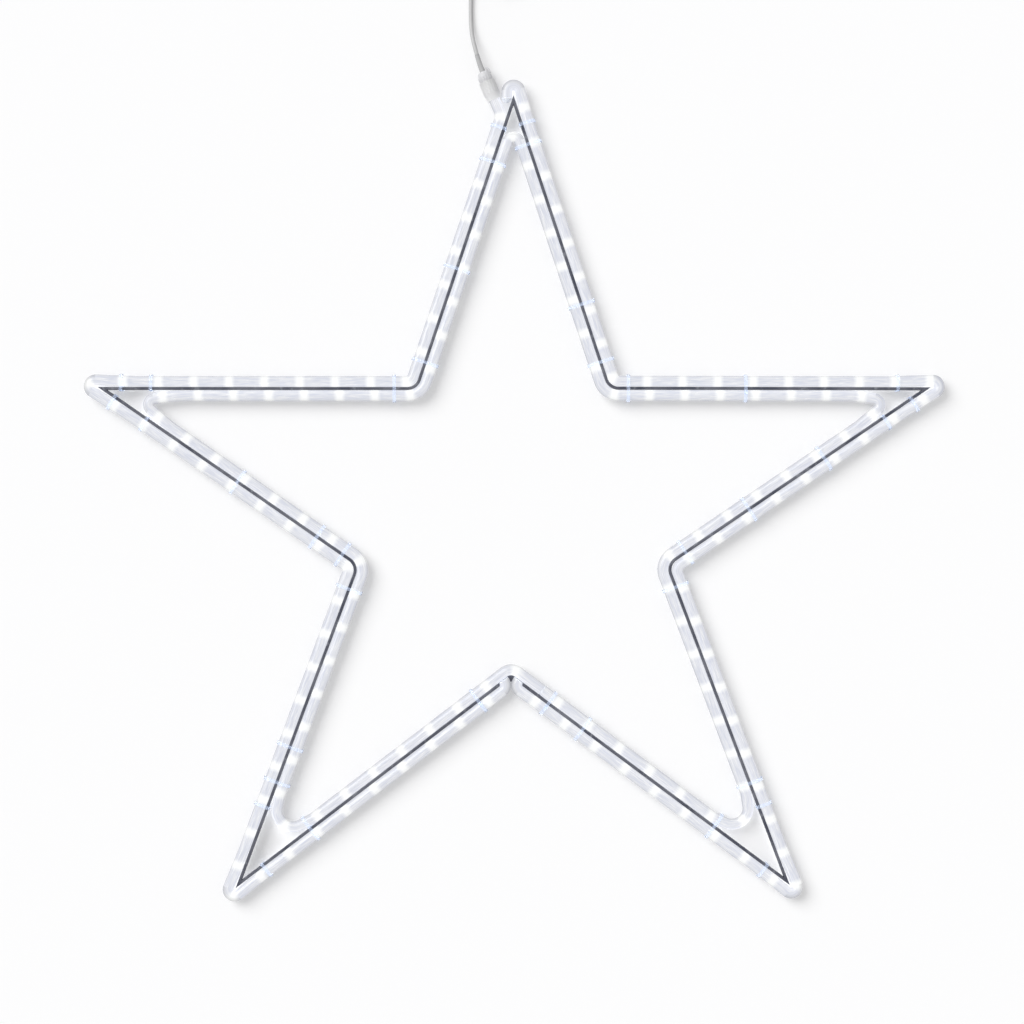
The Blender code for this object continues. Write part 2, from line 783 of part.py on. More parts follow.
def smooth_curve(route, spacing):
    """Points at even spacing on one smooth curve through the route's own points."""
    ends = [route[0] * 2 - route[1]] + route + [route[-1] * 2 - route[-2]]
    fine = []
    for a, b, c, d in zip(ends, ends[1:], ends[2:], ends[3:]):
        for step in range(COIL_POINTS):
            t = step / COIL_POINTS
            bow = (c - a) * t + (a * 2 - b * 5 + c * 4 - d) * t**2 + (b * 3 - a - c * 3 + d) * t**3
            fine.append(b + bow / 2)
    fine.append(route[-1])
    total = lengths_along(fine)
    count = max(2, round(total[-1] / spacing))
    return [point_at(fine, total, total[-1] * k / count) for k in range(count)] + [fine[-1]], total[-1]


def ease(share):
    share = max(0, min(1, share))
    return share * share * (3 - 2 * share)


def coil_points(centre, outer):
    """The cable's loops: in along the lower layer, up in the half turn where it reverses, out above."""
    points = []
    low = COIL_LIFT + CABLE_RADIUS
    count = round(COIL_TURNS * COIL_POINTS)
    for k in range(count + 1):
        turns = k / COIL_POINTS
        back = turns - COIL_TURNS / 2
        radius = outer - COIL_PITCH * min(turns, COIL_TURNS - turns)
        height = low + COIL_PITCH * ease(2 * back + 1 / 2)
        angle = math.pi - math.tau * turns
        spoke = Vector((math.cos(angle), math.sin(angle), 0)) * radius
        points.append(centre + spoke + Vector((0, 0, height)))
    return points


def least_gap(points, radius):
    """The smallest clear space between two stretches that lie more than a quarter turn apart."""
    least = math.inf
    apart = COIL_POINTS // 4
    for k, point in enumerate(points):
        for other in points[k + apart:]:
            least = min(least, (other - point).length)
    return least - 2 * radius


def add_cable(relief_end):
    leaving = (relief_end[1] - relief_end[0]).normalized()
    start = relief_end[1] + leaving * CLEARANCE
    lead = leaving * 2 * CABLE_RADIUS
    outer = COIL_INNER + COIL_PITCH * COIL_TURNS / 2
    coil_x = CABLE_ROUTE[-1][0]
    centre = Vector((coil_x + outer, COIL_CENTRE_Y, 0))
    level = COIL_LIFT + CABLE_RADIUS
    coil_start = Vector((coil_x, COIL_CENTRE_Y - 4 * CABLE_RADIUS, level))
    arrive = coil_start - Vector((0, 2 * CABLE_RADIUS + CLEARANCE, 0))
    route = [start, start + lead] + [Vector(point) for point in CABLE_ROUTE]
    route += [arrive, coil_start - Vector((0, CLEARANCE, 0))]
    line, length = smooth_curve(route, 5 * CABLE_RADIUS)
    keep(curve_object("power_cable", line, CABLE_RADIUS, 2), CABLE_PVC)

    loops = coil_points(centre, outer)
    top = loops[-1]
    plug_level = MAINS_PLUG_THICKNESS / 2
    leave = []
    steps = SMALL_TURN_STEPS
    for k in range(1, steps + 1):
        drop = (top.z - plug_level) * ease(k / steps)
        leave.append(Vector((top.x + COIL_EXIT * k / steps, top.y, top.z - drop)))
    leave.append(leave[-1] + Vector((2 * CABLE_RADIUS, 0, 0)))
    tube = [coil_start, coil_start.lerp(loops[0], 1 / 2)] + loops + leave
    keep(curve_object("cable_coil", tube, CABLE_RADIUS, 1), CABLE_PVC)
    print(f"coil: least gap to itself {least_gap(tube, CABLE_RADIUS) * 1000:.2f} mm")
    print(f"cable: {length + lengths_along(tube)[-1]:.3f} m in all, {length:.3f} m before the coil")
    add_coil_tie(centre, outer)
    add_mains_plug(leave[-1])


def add_coil_tie(centre, outer):
    """A strap through the coil's eye, round all its turns."""
    near = COIL_INNER - CABLE_RADIUS - CLEARANCE
    far = outer + CABLE_RADIUS + CLEARANCE
    low = COIL_LIFT - CLEARANCE
    high = COIL_LIFT + 2 * CABLE_RADIUS + COIL_PITCH + CLEARANCE
    hole = [(near, low), (far, low), (far, high), (near, high)]
    wall = COIL_TIE_THICKNESS
    rim = [
        (near - wall, low - wall),
        (far + wall, low - wall),
        (far + wall, high + wall),
        (near - wall, high + wall),
    ]
    strap = keep(plate_object("coil_tie", [rim, hole], COIL_TIE_WIDTH), TIE_NYLON)
    strap.matrix_local = Matrix.Translation(centre) @ Matrix.Rotation(math.pi / 2, 4, "X")


def add_mains_plug(end):
    """A slim two-pin plug, lying flat on its broad side."""
    start = end.x + CLEARANCE
    back = MAINS_PLUG_BACK
    length = MAINS_PLUG_LENGTH
    outline = [
        (0, -MAINS_PLUG_NECK),
        (back, -MAINS_PLUG_HALF),
        (length, -MAINS_PLUG_NOSE),
        (length, MAINS_PLUG_NOSE),
        (back, MAINS_PLUG_HALF),
        (0, MAINS_PLUG_NECK),
    ]
    body = keep(plate_object("mains_plug", [outline], MAINS_PLUG_THICKNESS), RING_PVC)
    body.location = (start, end.y, end.z)
    pin = [(0, MAINS_PIN_LENGTH), (MAINS_PIN_RADIUS, MAINS_PIN_LENGTH), (MAINS_PIN_RADIUS, 0), (0, 0)]
    for name, way in (("mains_pin_left", 1), ("mains_pin_right", -1)):
        post = keep(turned_object(name, pin, SMALL_TURN_STEPS), CONTACT_METAL)
        place = Vector((start + length + CLEARANCE, end.y + way * MAINS_PIN_SPACING / 2, end.z))
        aim(post, place, Vector((1, 0)))


def centre_star():
    """Moves the origin under the middle of the star and its connector."""
    bpy.context.view_layer.update()
    graph = bpy.context.evaluated_depsgraph_get()
    places = []
    for name in ("rope_outer_left", "rope_outer_right", "locking_ring"):
        held = bpy.data.objects[name].evaluated_get(graph)
        mesh = held.to_mesh()
        places += [held.matrix_world @ vertex.co for vertex in mesh.vertices]
        held.to_mesh_clear()
    for axis in (0, 1):
        reach = [place[axis] for place in places]
        ORIGIN.location[axis] = -(max(reach) + min(reach)) / 2
    print(f"middle of the arm line at {ORIGIN.location.x * 1000:.2f}, {ORIGIN.location.y * 1000:.2f} mm")


add_strip()
add_joiner()
add_ties(*add_ropes())
add_cable(add_connector())
centre_star()
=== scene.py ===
# %% [markdown]
# # A lit Christmas star
# This decoration is a wall star about a metre across. A dark steel strip is bent into the outline
# of a five-pointed star, and clear rope light is tied along both sides of it with clear cable
# ties. A power connector sits beside the top point. The solids of the star are already made. This
# lesson dresses them: smooth ropes with glowing lamps, powder-coated steel, nylon ties and a
# moulded connector, all in the same places.

# %% Load the frame
import json
import math

import bpy
from mathutils import Matrix, Vector

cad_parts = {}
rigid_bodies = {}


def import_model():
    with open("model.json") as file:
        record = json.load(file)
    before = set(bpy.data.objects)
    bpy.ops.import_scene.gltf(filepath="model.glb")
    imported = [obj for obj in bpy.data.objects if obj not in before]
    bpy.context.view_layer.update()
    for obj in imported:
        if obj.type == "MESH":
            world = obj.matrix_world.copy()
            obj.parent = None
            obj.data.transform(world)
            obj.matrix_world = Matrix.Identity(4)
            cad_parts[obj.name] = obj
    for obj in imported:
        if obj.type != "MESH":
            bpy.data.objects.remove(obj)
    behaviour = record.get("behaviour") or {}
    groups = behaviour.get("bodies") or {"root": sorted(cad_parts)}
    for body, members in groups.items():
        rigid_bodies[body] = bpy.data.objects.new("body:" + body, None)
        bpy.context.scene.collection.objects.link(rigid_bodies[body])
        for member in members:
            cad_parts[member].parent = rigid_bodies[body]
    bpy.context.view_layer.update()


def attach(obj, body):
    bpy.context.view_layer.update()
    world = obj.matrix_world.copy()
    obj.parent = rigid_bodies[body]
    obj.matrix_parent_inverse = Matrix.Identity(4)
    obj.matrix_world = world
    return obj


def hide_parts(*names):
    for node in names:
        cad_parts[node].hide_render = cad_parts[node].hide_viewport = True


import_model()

# %% [markdown]
# ## The camera
# The star is shown face on, so the camera looks straight down at the table where the star lies on
# its back. A camera 3 m away keeps the far and near sides of the rope at nearly the same scale.
# The focal length then follows from how much of the table the picture has to hold.

# %% Camera
VIEW_CENTRE = Vector((-0.00264, -0.03115))
VIEW_WIDTH = 1.2089
VIEW_DISTANCE = 3.0
SENSOR = 36.0
ROPE_HEIGHT = 0.0118


def add_object(name, data):
    """A new object in the scene that shows the data."""
    obj = bpy.data.objects.new(name, data)
    bpy.context.scene.collection.objects.link(obj)
    return obj


camera = bpy.data.cameras.new("camera")
camera.sensor_width = SENSOR
camera.lens = SENSOR * VIEW_DISTANCE / VIEW_WIDTH
camera_object = add_object("camera", camera)
camera_object.location = (*VIEW_CENTRE, ROPE_HEIGHT + VIEW_DISTANCE)
bpy.context.scene.camera = camera_object
print(f"camera: {camera.lens:.1f} mm lens, {VIEW_DISTANCE} m above the rope's middle")

# %% [markdown]
# ## Helpers for finishes
# Every finish below is one Principled shader with a few texture nodes in front of it. One helper
# makes a node, sets its options, and either sets or links each of its inputs.

# %% Node helpers
def add_node(tree, kind, inputs=None, **settings):
    """A node with its settings; an input that is given a socket is linked to it."""
    node = tree.nodes.new("ShaderNode" + kind)
    for key, value in settings.items():
        setattr(node, key, value)
    for key, value in (inputs or {}).items():
        if isinstance(value, bpy.types.NodeSocket):
            tree.links.new(value, node.inputs[key])
        else:
            node.inputs[key].default_value = value
    return node


def new_finish(name, color, roughness, **more):
    """A Principled material with these values, its node tree and its shader."""
    material = bpy.data.materials.new(name)
    material.use_nodes = True
    tree = material.node_tree
    shader = tree.nodes["Principled BSDF"]
    shader.inputs["Base Color"].default_value = (*color, 1)
    shader.inputs["Roughness"].default_value = roughness
    for key, value in more.items():
        shader.inputs[key.replace("_", " ")].default_value = value
    return material, tree, shader


def ramp(tree, value, low, high, start=0, end=1):
    """A number moved from the range start to end into low to high, and held inside that."""
    inputs = {"Value": value, "From Min": start, "From Max": end, "To Min": low, "To Max": high}
    return add_node(tree, "MapRange", inputs).outputs["Result"]


def combine(tree, operation, *values):
    """The result of one sum on numbers or sockets."""
    return add_node(tree, "Math", dict(enumerate(values)), operation=operation).outputs[0]


def feed(shader, **sockets):
    """Links each socket to the shader's input of that name."""
    for key, socket in sockets.items():
        shader.id_data.links.new(socket, shader.inputs[key.replace("_", " ")])


def blend_colors(tree, share, first, second):
    mixed = add_node(tree, "Mix", {"Factor": share}, data_type="RGBA")
    for socket, color in zip((mixed.inputs[6], mixed.inputs[7]), (first, second)):
        if isinstance(color, bpy.types.NodeSocket):
            tree.links.new(color, socket)
        else:
            socket.default_value = (*color, 1)
    return mixed.outputs[2]


print("node helpers ready")

# %% [markdown]
# ### A finish with a grain
# Moulded plastic is never one flat colour: its tone drifts a little, its gloss is uneven, and a
# fine grain breaks up the highlights. Three noises give these, and all are fixed to the piece, so
# that they move with it. Most finishes differ only in their numbers, so one helper makes them.

# %% Surface helpers
GRAIN_HEIGHT = 0.0001


def object_noise(tree, scale, detail=3, stretch=(1, 1, 1)):
    """Noise that moves with the piece, with features about 1 / scale metres across."""
    place = add_node(tree, "TexCoord").outputs["Object"]
    stretched = add_node(tree, "Mapping", {"Vector": place, "Scale": stretch}).outputs[0]
    inputs = {"Vector": stretched, "Scale": scale, "Detail": detail}
    return add_node(tree, "TexNoise", inputs).outputs["Fac"]


def add_bump(tree, shader, height, strength, distance=GRAIN_HEIGHT):
    inputs = {"Height": height, "Strength": strength, "Distance": distance}
    feed(shader, Normal=add_node(tree, "Bump", inputs).outputs[0])


def grained_finish(name, colors, gloss, grain=None, **more):
    """A finish from (dark, light, patches), (least, most roughness, noise), (strength, noise)."""
    dark, light, patches = colors
    least, most, *gloss_noise = gloss
    material, tree, shader = new_finish(name, light, most, **more)
    feed(shader,
         Base_Color=blend_colors(tree, object_noise(tree, patches), dark, light),
         Roughness=ramp(tree, object_noise(tree, *gloss_noise), least, most))
    if grain:
        strength, *grain_noise = grain
        add_bump(tree, shader, object_noise(tree, *grain_noise), strength)
    return material


print("surface helpers ready")

# %% [markdown]
# ## Helpers for pieces
# Everything is deselected before each new step, because an operator changes whatever is selected.
# Modelling by hand goes back and forth between moving a piece and editing its mesh, so there are
# helpers for both.

# %% Modelling helpers
MERGE_DISTANCE = 0.00001


def clear_selection():
    if bpy.context.object and bpy.context.object.mode != "OBJECT":
        bpy.ops.object.mode_set(mode="OBJECT")
    bpy.ops.object.select_all(action="DESELECT")


def pick(obj):
    clear_selection()
    obj.select_set(True)
    bpy.context.view_layer.objects.active = obj
    return obj


def keep_place(obj):
    """Keeps a piece's place, turn and size in its mesh."""
    pick(obj)
    bpy.ops.object.transform_apply(location=True, rotation=True, scale=True)
    return obj


def open_mesh(obj, keep=None):
    """Starts editing a mesh, with all of it selected or only the faces that keep picks."""
    pick(obj)
    bpy.ops.object.mode_set(mode="EDIT")
    bpy.ops.mesh.select_all(action="SELECT")
    if keep:
        bpy.ops.mesh.select_mode(type="FACE")
        bpy.ops.mesh.select_all(action="DESELECT")
        bpy.ops.object.mode_set(mode="OBJECT")
        for face in obj.data.polygons:
            face.select = keep(face)
        bpy.ops.object.mode_set(mode="EDIT")


def close_mesh():
    bpy.ops.object.mode_set(mode="OBJECT")


def clean_selected():
    """Merges vertices that lie at one place, and turns the faces outward."""
    bpy.ops.mesh.remove_doubles(threshold=MERGE_DISTANCE)
    bpy.ops.mesh.normals_make_consistent(inside=False)


print("modelling helpers ready")

# %% [markdown]
# ### Hanging a piece on its body
# A piece is finished when its place is kept in its mesh, it has its finish, and it is hung on the
# body that it moves with. One helper gives the finish and hangs the piece, and hides the plain
# solids that the piece stands for. It also shades the round parts smooth and leaves sharp edges
# sharp.

# %% Hanging helper
def hang(obj, name, material, slot, *nodes, body="star", smooth=40):
    """Names a finished piece, gives it its finish and makes it move with its body."""
    if obj.type == "MESH":
        pick(obj)
        bpy.ops.object.shade_smooth_by_angle(angle=math.radians(smooth))
    obj.name = obj.data.name = name
    obj.data.materials.clear()
    obj.data.materials.append(material)
    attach(obj, body)
    if nodes:
        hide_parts(*nodes)
    return obj


print("hanging helper ready")

# %% [markdown]
# ## The power cord
# The cord comes first, because it decides how much room the model takes outside the picture. On
# the real star a light grey lead leaves the connector, drops to the surface and runs up out of the
# picture. It has to start at the connector, and the connector's place follows from the star, so
# the star's own sizes are set down first. It has ten corners: the top point, the shoulders, the
# arms, the waist, the feet and the crotch between the feet. The real bar is bent by hand, so each
# corner is off by a millimetre or two, and places along a side are counted from its point.

# %% Sizes of the star
STAR_MIDDLE = Vector((-0.00175, 0.11453))
TOP_RISE = 0.3404
SHOULDER_HALF = 0.1138
ARM_HALF = 0.4858
WAIST_HALF, WAIST_DROP = 0.1825, 0.2082
FOOT_HALF, FOOT_DROP = 0.3232, 0.5827
CROTCH_DROP = 0.3388
CORNER_ERRORS = (
    (0.0009, 0), (0.0001, 0), (0.0017, 0.0001), (-0.0003, -0.0002), (0, -0.0017),
    (-0.0020, 0), (0, 0.0018), (-0.0002, 0.0003), (0.0018, -0.0003), (0.0001, 0.0004),
)
LEFT_CORNERS = (
    (-SHOULDER_HALF, 0),
    (-ARM_HALF, 0),
    (-WAIST_HALF, -WAIST_DROP),
    (-FOOT_HALF, -FOOT_DROP),
)
RIGHT_CORNERS = [(-x, y) for x, y in reversed(LEFT_CORNERS)]
EVEN_CORNERS = [(0, TOP_RISE), *LEFT_CORNERS, (0, -CROTCH_DROP), *RIGHT_CORNERS]
CORNERS = [
    Vector(even) + Vector(error) + STAR_MIDDLE
    for even, error in zip(EVEN_CORNERS, CORNER_ERRORS)
]
SIDES = len(CORNERS)
TOP, CROTCH = 0, 5

CLEARANCE = 0.0003
STRIP_THICKNESS, STRIP_DEPTH, STRIP_BEND = 0.0032, 0.013, 0.0153
ROPE_RADIUS, BORE_RADIUS = 0.0065, 0.0032
ROPE_OFFSET = STRIP_THICKNESS / 2 + CLEARANCE + ROPE_RADIUS


def left_of(direction):
    return Vector((-direction.y, direction.x))


def side_span(side):
    return CORNERS[(side + 1) % SIDES] - CORNERS[side % SIDES]


def side_direction(side):
    return side_span(side).normalized()


def on_side(side, distance, offset):
    """A place on a side: how far from the star's point, and how far outside the strip."""
    direction = side_direction(side)
    start = CORNERS[side] + direction * distance
    if side % 2:
        start = CORNERS[(side + 1) % SIDES] - direction * distance
    return start - left_of(direction) * offset


def level(point):
    """A place on the plan, lifted to the height of the rope's middle."""
    return Vector((point[0], point[1], ROPE_HEIGHT))


print(f"{SIDES} sides, {sum(side_span(side).length for side in range(SIDES)):.3f} m of strip")

# %% [markdown]
# ### The connector's axis
# Near the top, the left rope bends away from the strip and runs into the connector. The
# connector's pieces are turned about one axis, so they only need their distances from that bend.
# The relief sleeve begins on the axis and then leans over to the lead's own direction.

# %% Axis of the connector
BEND_PLACE, CONNECTOR_BEND = 0.022, 0.016
CONNECTOR_TILT, CABLE_TILT = math.radians(22.5), math.radians(15)
SLEEVE_START, SLEEVE_RADIUS = 0.020, 0.0077
BODY_FULL, BODY_TOP, BODY_RADIUS = 0.029, 0.0436, 0.0095
SOCKET_DEPTH, ROPE_INTO_SOCKET = 0.02, 0.017
NECK_RADIUS, NECK_LENGTH = 0.006, 0.0084
RING_LENGTH = 0.0116
RELIEF_RADIUS, RELIEF_END_RADIUS, RELIEF_LENGTH = 0.0034, 0.0028, 0.021
RING_START = BODY_TOP + CLEARANCE
RING_TOP = RING_START + RING_LENGTH
RELIEF_SEAT = BODY_TOP + NECK_LENGTH + CLEARANCE
RELIEF_STEPS = 8

LEAD_OUT = Vector((-math.sin(CONNECTOR_TILT), math.cos(CONNECTOR_TILT)))
BEND_POINT = on_side(TOP, BEND_PLACE, ROPE_OFFSET)


def along_lead(distance):
    """A place on the connector's axis."""
    return BEND_POINT + LEAD_OUT * distance


def relief_line():
    """The middle of the relief: straight through the ring, then leaning over to the lead."""
    line = [along_lead(RELIEF_SEAT), along_lead(RING_TOP + CLEARANCE)]
    for step in range(RELIEF_STEPS):
        share = (step + 1 / 2) / RELIEF_STEPS
        tilt = CONNECTOR_TILT + (CABLE_TILT - CONNECTOR_TILT) * share
        way = Vector((-math.sin(tilt), math.cos(tilt)))
        line.append(line[-1] + way * RELIEF_LENGTH / RELIEF_STEPS)
    return [level(point) for point in line]


print("the ring starts at", [round(value, 4) for value in along_lead(RING_START)])

# %% [markdown]
# ### The lead's route
# One curve follows the whole way: a smooth line through a few route points, then a spiral that
# runs in along a lower layer and out again along an upper one. The coil lies just past the top
# edge of the picture.

# %% Curve helpers
CORD_RADIUS = 0.0025
CORD_ROUTE = (
    (-0.0463, 0.4091, 0.0096),
    (-0.0484, 0.4210, 0.0062),
    (-0.0493, 0.4330, 0.0037),
    (-0.0496, 0.4460, 0.0027),
    (-0.0496, 0.4610, 0.0026),
    (-0.0495, 0.4790, 0.0028),
    (-0.0494, 0.4940, 0.0034),
)
COIL_TURNS, COIL_PITCH, COIL_INNER = 7.25, 0.00545, 0.0195
COIL_CENTRE_Y, COIL_POINTS = 0.512, 36
COIL_LIFT, COIL_EXIT = 0.0013, 0.025
PLUG_LEVEL, EXIT_STEPS = 0.007, 8


def lengths_along(points):
    total = [0]
    for point, after in zip(points, points[1:]):
        total.append(total[-1] + (after - point).length)
    return total


def point_at(points, total, distance):
    for k in range(1, len(points)):
        if distance <= total[k] or k == len(points) - 1:
            share = (distance - total[k - 1]) / (total[k] - total[k - 1])
            return points[k - 1].lerp(points[k], share)


def smooth_curve(route, spacing):
    """Points at even spacing on one smooth curve through the route's own points."""
    ends = [route[0] * 2 - route[1]] + route + [route[-1] * 2 - route[-2]]
    fine = []
    for a, b, c, d in zip(ends, ends[1:], ends[2:], ends[3:]):
        for step in range(COIL_POINTS):
            t = step / COIL_POINTS
            bow = (c - a) * t + (a * 2 - b * 5 + c * 4 - d) * t**2 + (b * 3 - a - c * 3 + d) * t**3
            fine.append(b + bow / 2)
    fine.append(route[-1])
    total = lengths_along(fine)
    count = max(2, round(total[-1] / spacing))
    return [point_at(fine, total, total[-1] * k / count) for k in range(count)] + [fine[-1]]


def ease(share):
    share = max(0, min(1, share))
    return share * share * (3 - 2 * share)


def coil_points(centre, outer):
    """The loops: in along the lower layer, up in the half turn at the middle, out above."""
    points = []
    for k in range(round(COIL_TURNS * COIL_POINTS) + 1):
        turns = k / COIL_POINTS
        radius = outer - COIL_PITCH * min(turns, COIL_TURNS - turns)
        height = COIL_LIFT + CORD_RADIUS + COIL_PITCH * ease(2 * turns - COIL_TURNS + 1 / 2)
        angle = math.pi - math.tau * turns
        spoke = Vector((math.cos(angle), math.sin(angle), 0)) * radius
        points.append(centre + spoke + Vector((0, 0, height)))
    return points


print("curve helpers ready")

# %% [markdown]
# ### From the connector to the plug
# The smooth part leaves the relief in its own direction and reaches the coil head on. Behind the
# last loop the lead sinks to the plug's level and runs straight into it.

# %% Route of the cord
relief_end = relief_line()[-2:]
leaving = (relief_end[1] - relief_end[0]).normalized()
cord_exit = relief_end[1] + leaving * CLEARANCE
middle = Vector((*STAR_MIDDLE, 0))
coil_outer = COIL_INNER + COIL_PITCH * COIL_TURNS / 2
coil_x = CORD_ROUTE[-1][0]
coil_centre = Vector((coil_x + coil_outer, COIL_CENTRE_Y, 0)) + middle
coil_start = Vector((coil_x, COIL_CENTRE_Y - 4 * CORD_RADIUS, COIL_LIFT + CORD_RADIUS)) + middle
route = [cord_exit, cord_exit + leaving * 2 * CORD_RADIUS]
route += [Vector(point) + middle for point in CORD_ROUTE]
route += [coil_start - Vector((0, 2 * CORD_RADIUS, 0)), coil_start]
free_line = smooth_curve(route, 2 * CORD_RADIUS)
loops = coil_points(coil_centre, coil_outer)
exit_line = []
for k in range(1, EXIT_STEPS + 1):
    drop = (loops[-1].z - PLUG_LEVEL) * ease(k / EXIT_STEPS)
    exit_line.append(loops[-1] + Vector((COIL_EXIT * k / EXIT_STEPS, 0, -drop)))
exit_line.append(exit_line[-1] + Vector((2 * CORD_RADIUS, 0, 0)))
cord_line = free_line + [coil_start.lerp(loops[0], 1 / 2)] + loops + exit_line

# %% [markdown]
# ### The cord's finish and its curve
# The lead's jacket is plain light grey PVC, a little matt, with a fine grain. A curve with a round
# bevel is the natural way to make a cord, because its own line stays the cord's middle and its
# length can be measured.

# %% Cord
cable_finish = grained_finish(
    "grey cable PVC", ((0.48, 0.48, 0.485), (0.56, 0.56, 0.56), 60), (0.36, 0.5, 400),
    (0.25, 1500, 4),
)


def add_line(curve, points):
    """Adds one line through the points to a curve."""
    spline = curve.splines.new("POLY")
    spline.points.add(len(points) - 1)
    for k, point in enumerate(points):
        spline.points[k].co = (*point, 1)
    return spline


def line_curve(points, radius, resolution=4, caps=True, radii=()):
    """A curve object with a round section along a line of points."""
    curve = bpy.data.curves.new("line", "CURVE")
    curve.dimensions = "3D"
    curve.twist_mode = "Z_UP"
    curve.bevel_depth = radius
    curve.bevel_resolution = resolution
    curve.use_fill_caps = caps
    spline = add_line(curve, points)
    spline.use_smooth = True
    for k, share in enumerate(radii):
        spline.points[k].radius = share
    return add_object("curve", curve)


power_cord = hang(line_curve(cord_line, CORD_RADIUS), "power_cord", cable_finish,
                  "cable", "power_cable", "cable_coil")
print("power cord made")

# %% [markdown]
# ## Building round pieces
# The relief, the plugs, the pins and the connector are all turned shapes. By hand, such a piece is
# drawn out of a disc: the end face is extruded a little way, scaled, extruded again, and so on
# along the outline. A ring starts from an open circle in the same way, and its last edge is joined
# to its first. Bevelled corners then catch the light as moulded plastic does.

# %% Turning helpers
FINE_EDGE, EDGE_ANGLE = 0.0002, math.radians(30)


def turned(profile, sides=32, closed=False):
    """A round piece about local Z, drawn out ring by ring along (radius, height) pairs."""
    clear_selection()
    radius, height = profile[0]
    bpy.ops.mesh.primitive_circle_add(
        vertices=sides, radius=radius, fill_type="NOTHING" if closed else "NGON",
        location=(0, 0, height),
    )
    piece = keep_place(bpy.context.object)
    open_mesh(piece)
    extrude = bpy.ops.mesh.extrude_edges_move if closed else bpy.ops.mesh.extrude_region_move
    for next_radius, next_height in profile[1:] + (profile[:1] if closed else []):
        extrude(TRANSFORM_OT_translate={"value": (0, 0, next_height - height)})
        share = next_radius / radius
        bpy.ops.transform.resize(value=(share, share, 1), center_override=(0, 0, next_height))
        radius, height = next_radius, next_height
    bpy.ops.mesh.select_all(action="SELECT")
    clean_selected()
    close_mesh()
    return piece


def apply_modifier(obj, kind, **settings):
    pick(obj)
    modifier = obj.modifiers.new(kind, kind)
    for key, value in settings.items():
        setattr(modifier, key, value)
    bpy.ops.object.modifier_apply(modifier=modifier.name)


def soften(obj, width=FINE_EDGE, segments=2):
    """Rounds the piece's sharp edges, and merges what the rounding squeezes to nothing."""
    apply_modifier(obj, "BEVEL", width=width, segments=segments,
                   limit_method="ANGLE", angle_limit=EDGE_ANGLE)
    open_mesh(obj)
    bpy.ops.mesh.remove_doubles(threshold=MERGE_DISTANCE)
    close_mesh()


def put(obj, place, direction):
    """Turns local Z to a direction, moves the piece to its place, and keeps both in its mesh."""
    obj.rotation_mode = "QUATERNION"
    obj.rotation_quaternion = Vector(direction).to_track_quat("Z", "Y")
    obj.location = place
    return keep_place(obj)


print("turning helpers ready")

# %% [markdown]
# ## The tapered relief
# Where the lead leaves the connector, a soft sleeve keeps it from bending sharply. It is widest in
# the ring and thins towards the lead, with shallow grooves that let it flex. It follows a bent
# line, so it is a curve whose radius changes from point to point, made into a mesh at the end.

# %% Relief
RIB_COUNT, RIB_DEPTH, STEPS_PER_RIB = 9, 0.00025, 6
PLAIN_FROM = 0.97

relief_finish = grained_finish(
    "relief grey PVC", ((0.43, 0.43, 0.435), (0.5, 0.5, 0.505), 90), (0.42, 0.6, 700),
    (0.3, 1800, 4),
)


def converted(curve_object):
    """The curve as a mesh, with its caps still loose."""
    pick(curve_object)
    bpy.ops.object.convert(target="MESH")
    return bpy.context.object


def to_mesh(curve_object):
    """The curve as a closed mesh: its caps are merged, and its faces point outward."""
    piece = converted(curve_object)
    open_mesh(piece)
    clean_selected()
    close_mesh()
    return piece


coarse = relief_line()
coarse_total = lengths_along(coarse)
relief_points, relief_radii = [], []
steps = RIB_COUNT * STEPS_PER_RIB
for k in range(steps + 1):
    distance = coarse_total[-1] * k / steps
    thin = max(0, (distance - coarse_total[1]) / RELIEF_LENGTH)
    radius = RELIEF_RADIUS + (RELIEF_END_RADIUS - RELIEF_RADIUS) * thin
    wave = (1 - math.cos(math.tau * thin * RIB_COUNT)) / 2
    groove = RIB_DEPTH * wave if 0 < thin < PLAIN_FROM else 0
    relief_points.append(point_at(coarse, coarse_total, distance))
    relief_radii.append((radius - groove) / RELIEF_RADIUS)
relief = to_mesh(line_curve(relief_points, RELIEF_RADIUS, 5, radii=relief_radii))
hang(relief, "cable_relief", relief_finish, "seal", "cable_gland", smooth=50)
print(f"relief: {coarse_total[-1] * 1000:.1f} mm with {RIB_COUNT} grooves")

# %% [markdown]
# ## The plug on the lead's end
# The real lead ends in a slim two-pin plug. It lies flat beside the coil. Its body is a cube that
# is stretched to size, cut across where the taper starts, and narrowed at the back. Raised ridges
# on both broad sides give the fingers a hold.

# %% Plug body
PLUG_LENGTH, PLUG_BACK = 0.036, 0.01
PLUG_HALF, PLUG_NOSE, PLUG_NECK = 0.0125, 0.0115, 0.0045
PLUG_THICKNESS, PLUG_ROUNDING = 0.014, 0.0028
RIDGES, RIDGE_PITCH, RIDGE_WIDTH, RIDGE_HEIGHT = 5, 0.0032, 0.0012, 0.0006
FIRST_RIDGE, RIDGE_LENGTH, RIDGE_ROUNDING = 0.014, 1.3 * PLUG_HALF, 0.00045

moulded_finish = grained_finish(
    "moulded grey PVC", ((0.38, 0.38, 0.39), (0.46, 0.46, 0.465), 45), (0.38, 0.55, 300),
    (0.35, 1400, 4),
)


def box_piece(size, centre):
    """A cube stretched to a size at a place, with both kept in its mesh."""
    clear_selection()
    bpy.ops.mesh.primitive_cube_add(size=1, location=centre)
    bpy.context.object.scale = size
    return keep_place(bpy.context.object)


def join(pieces):
    clear_selection()
    for piece in pieces:
        piece.select_set(True)
    bpy.context.view_layer.objects.active = pieces[0]
    bpy.ops.object.join()
    return pieces[0]


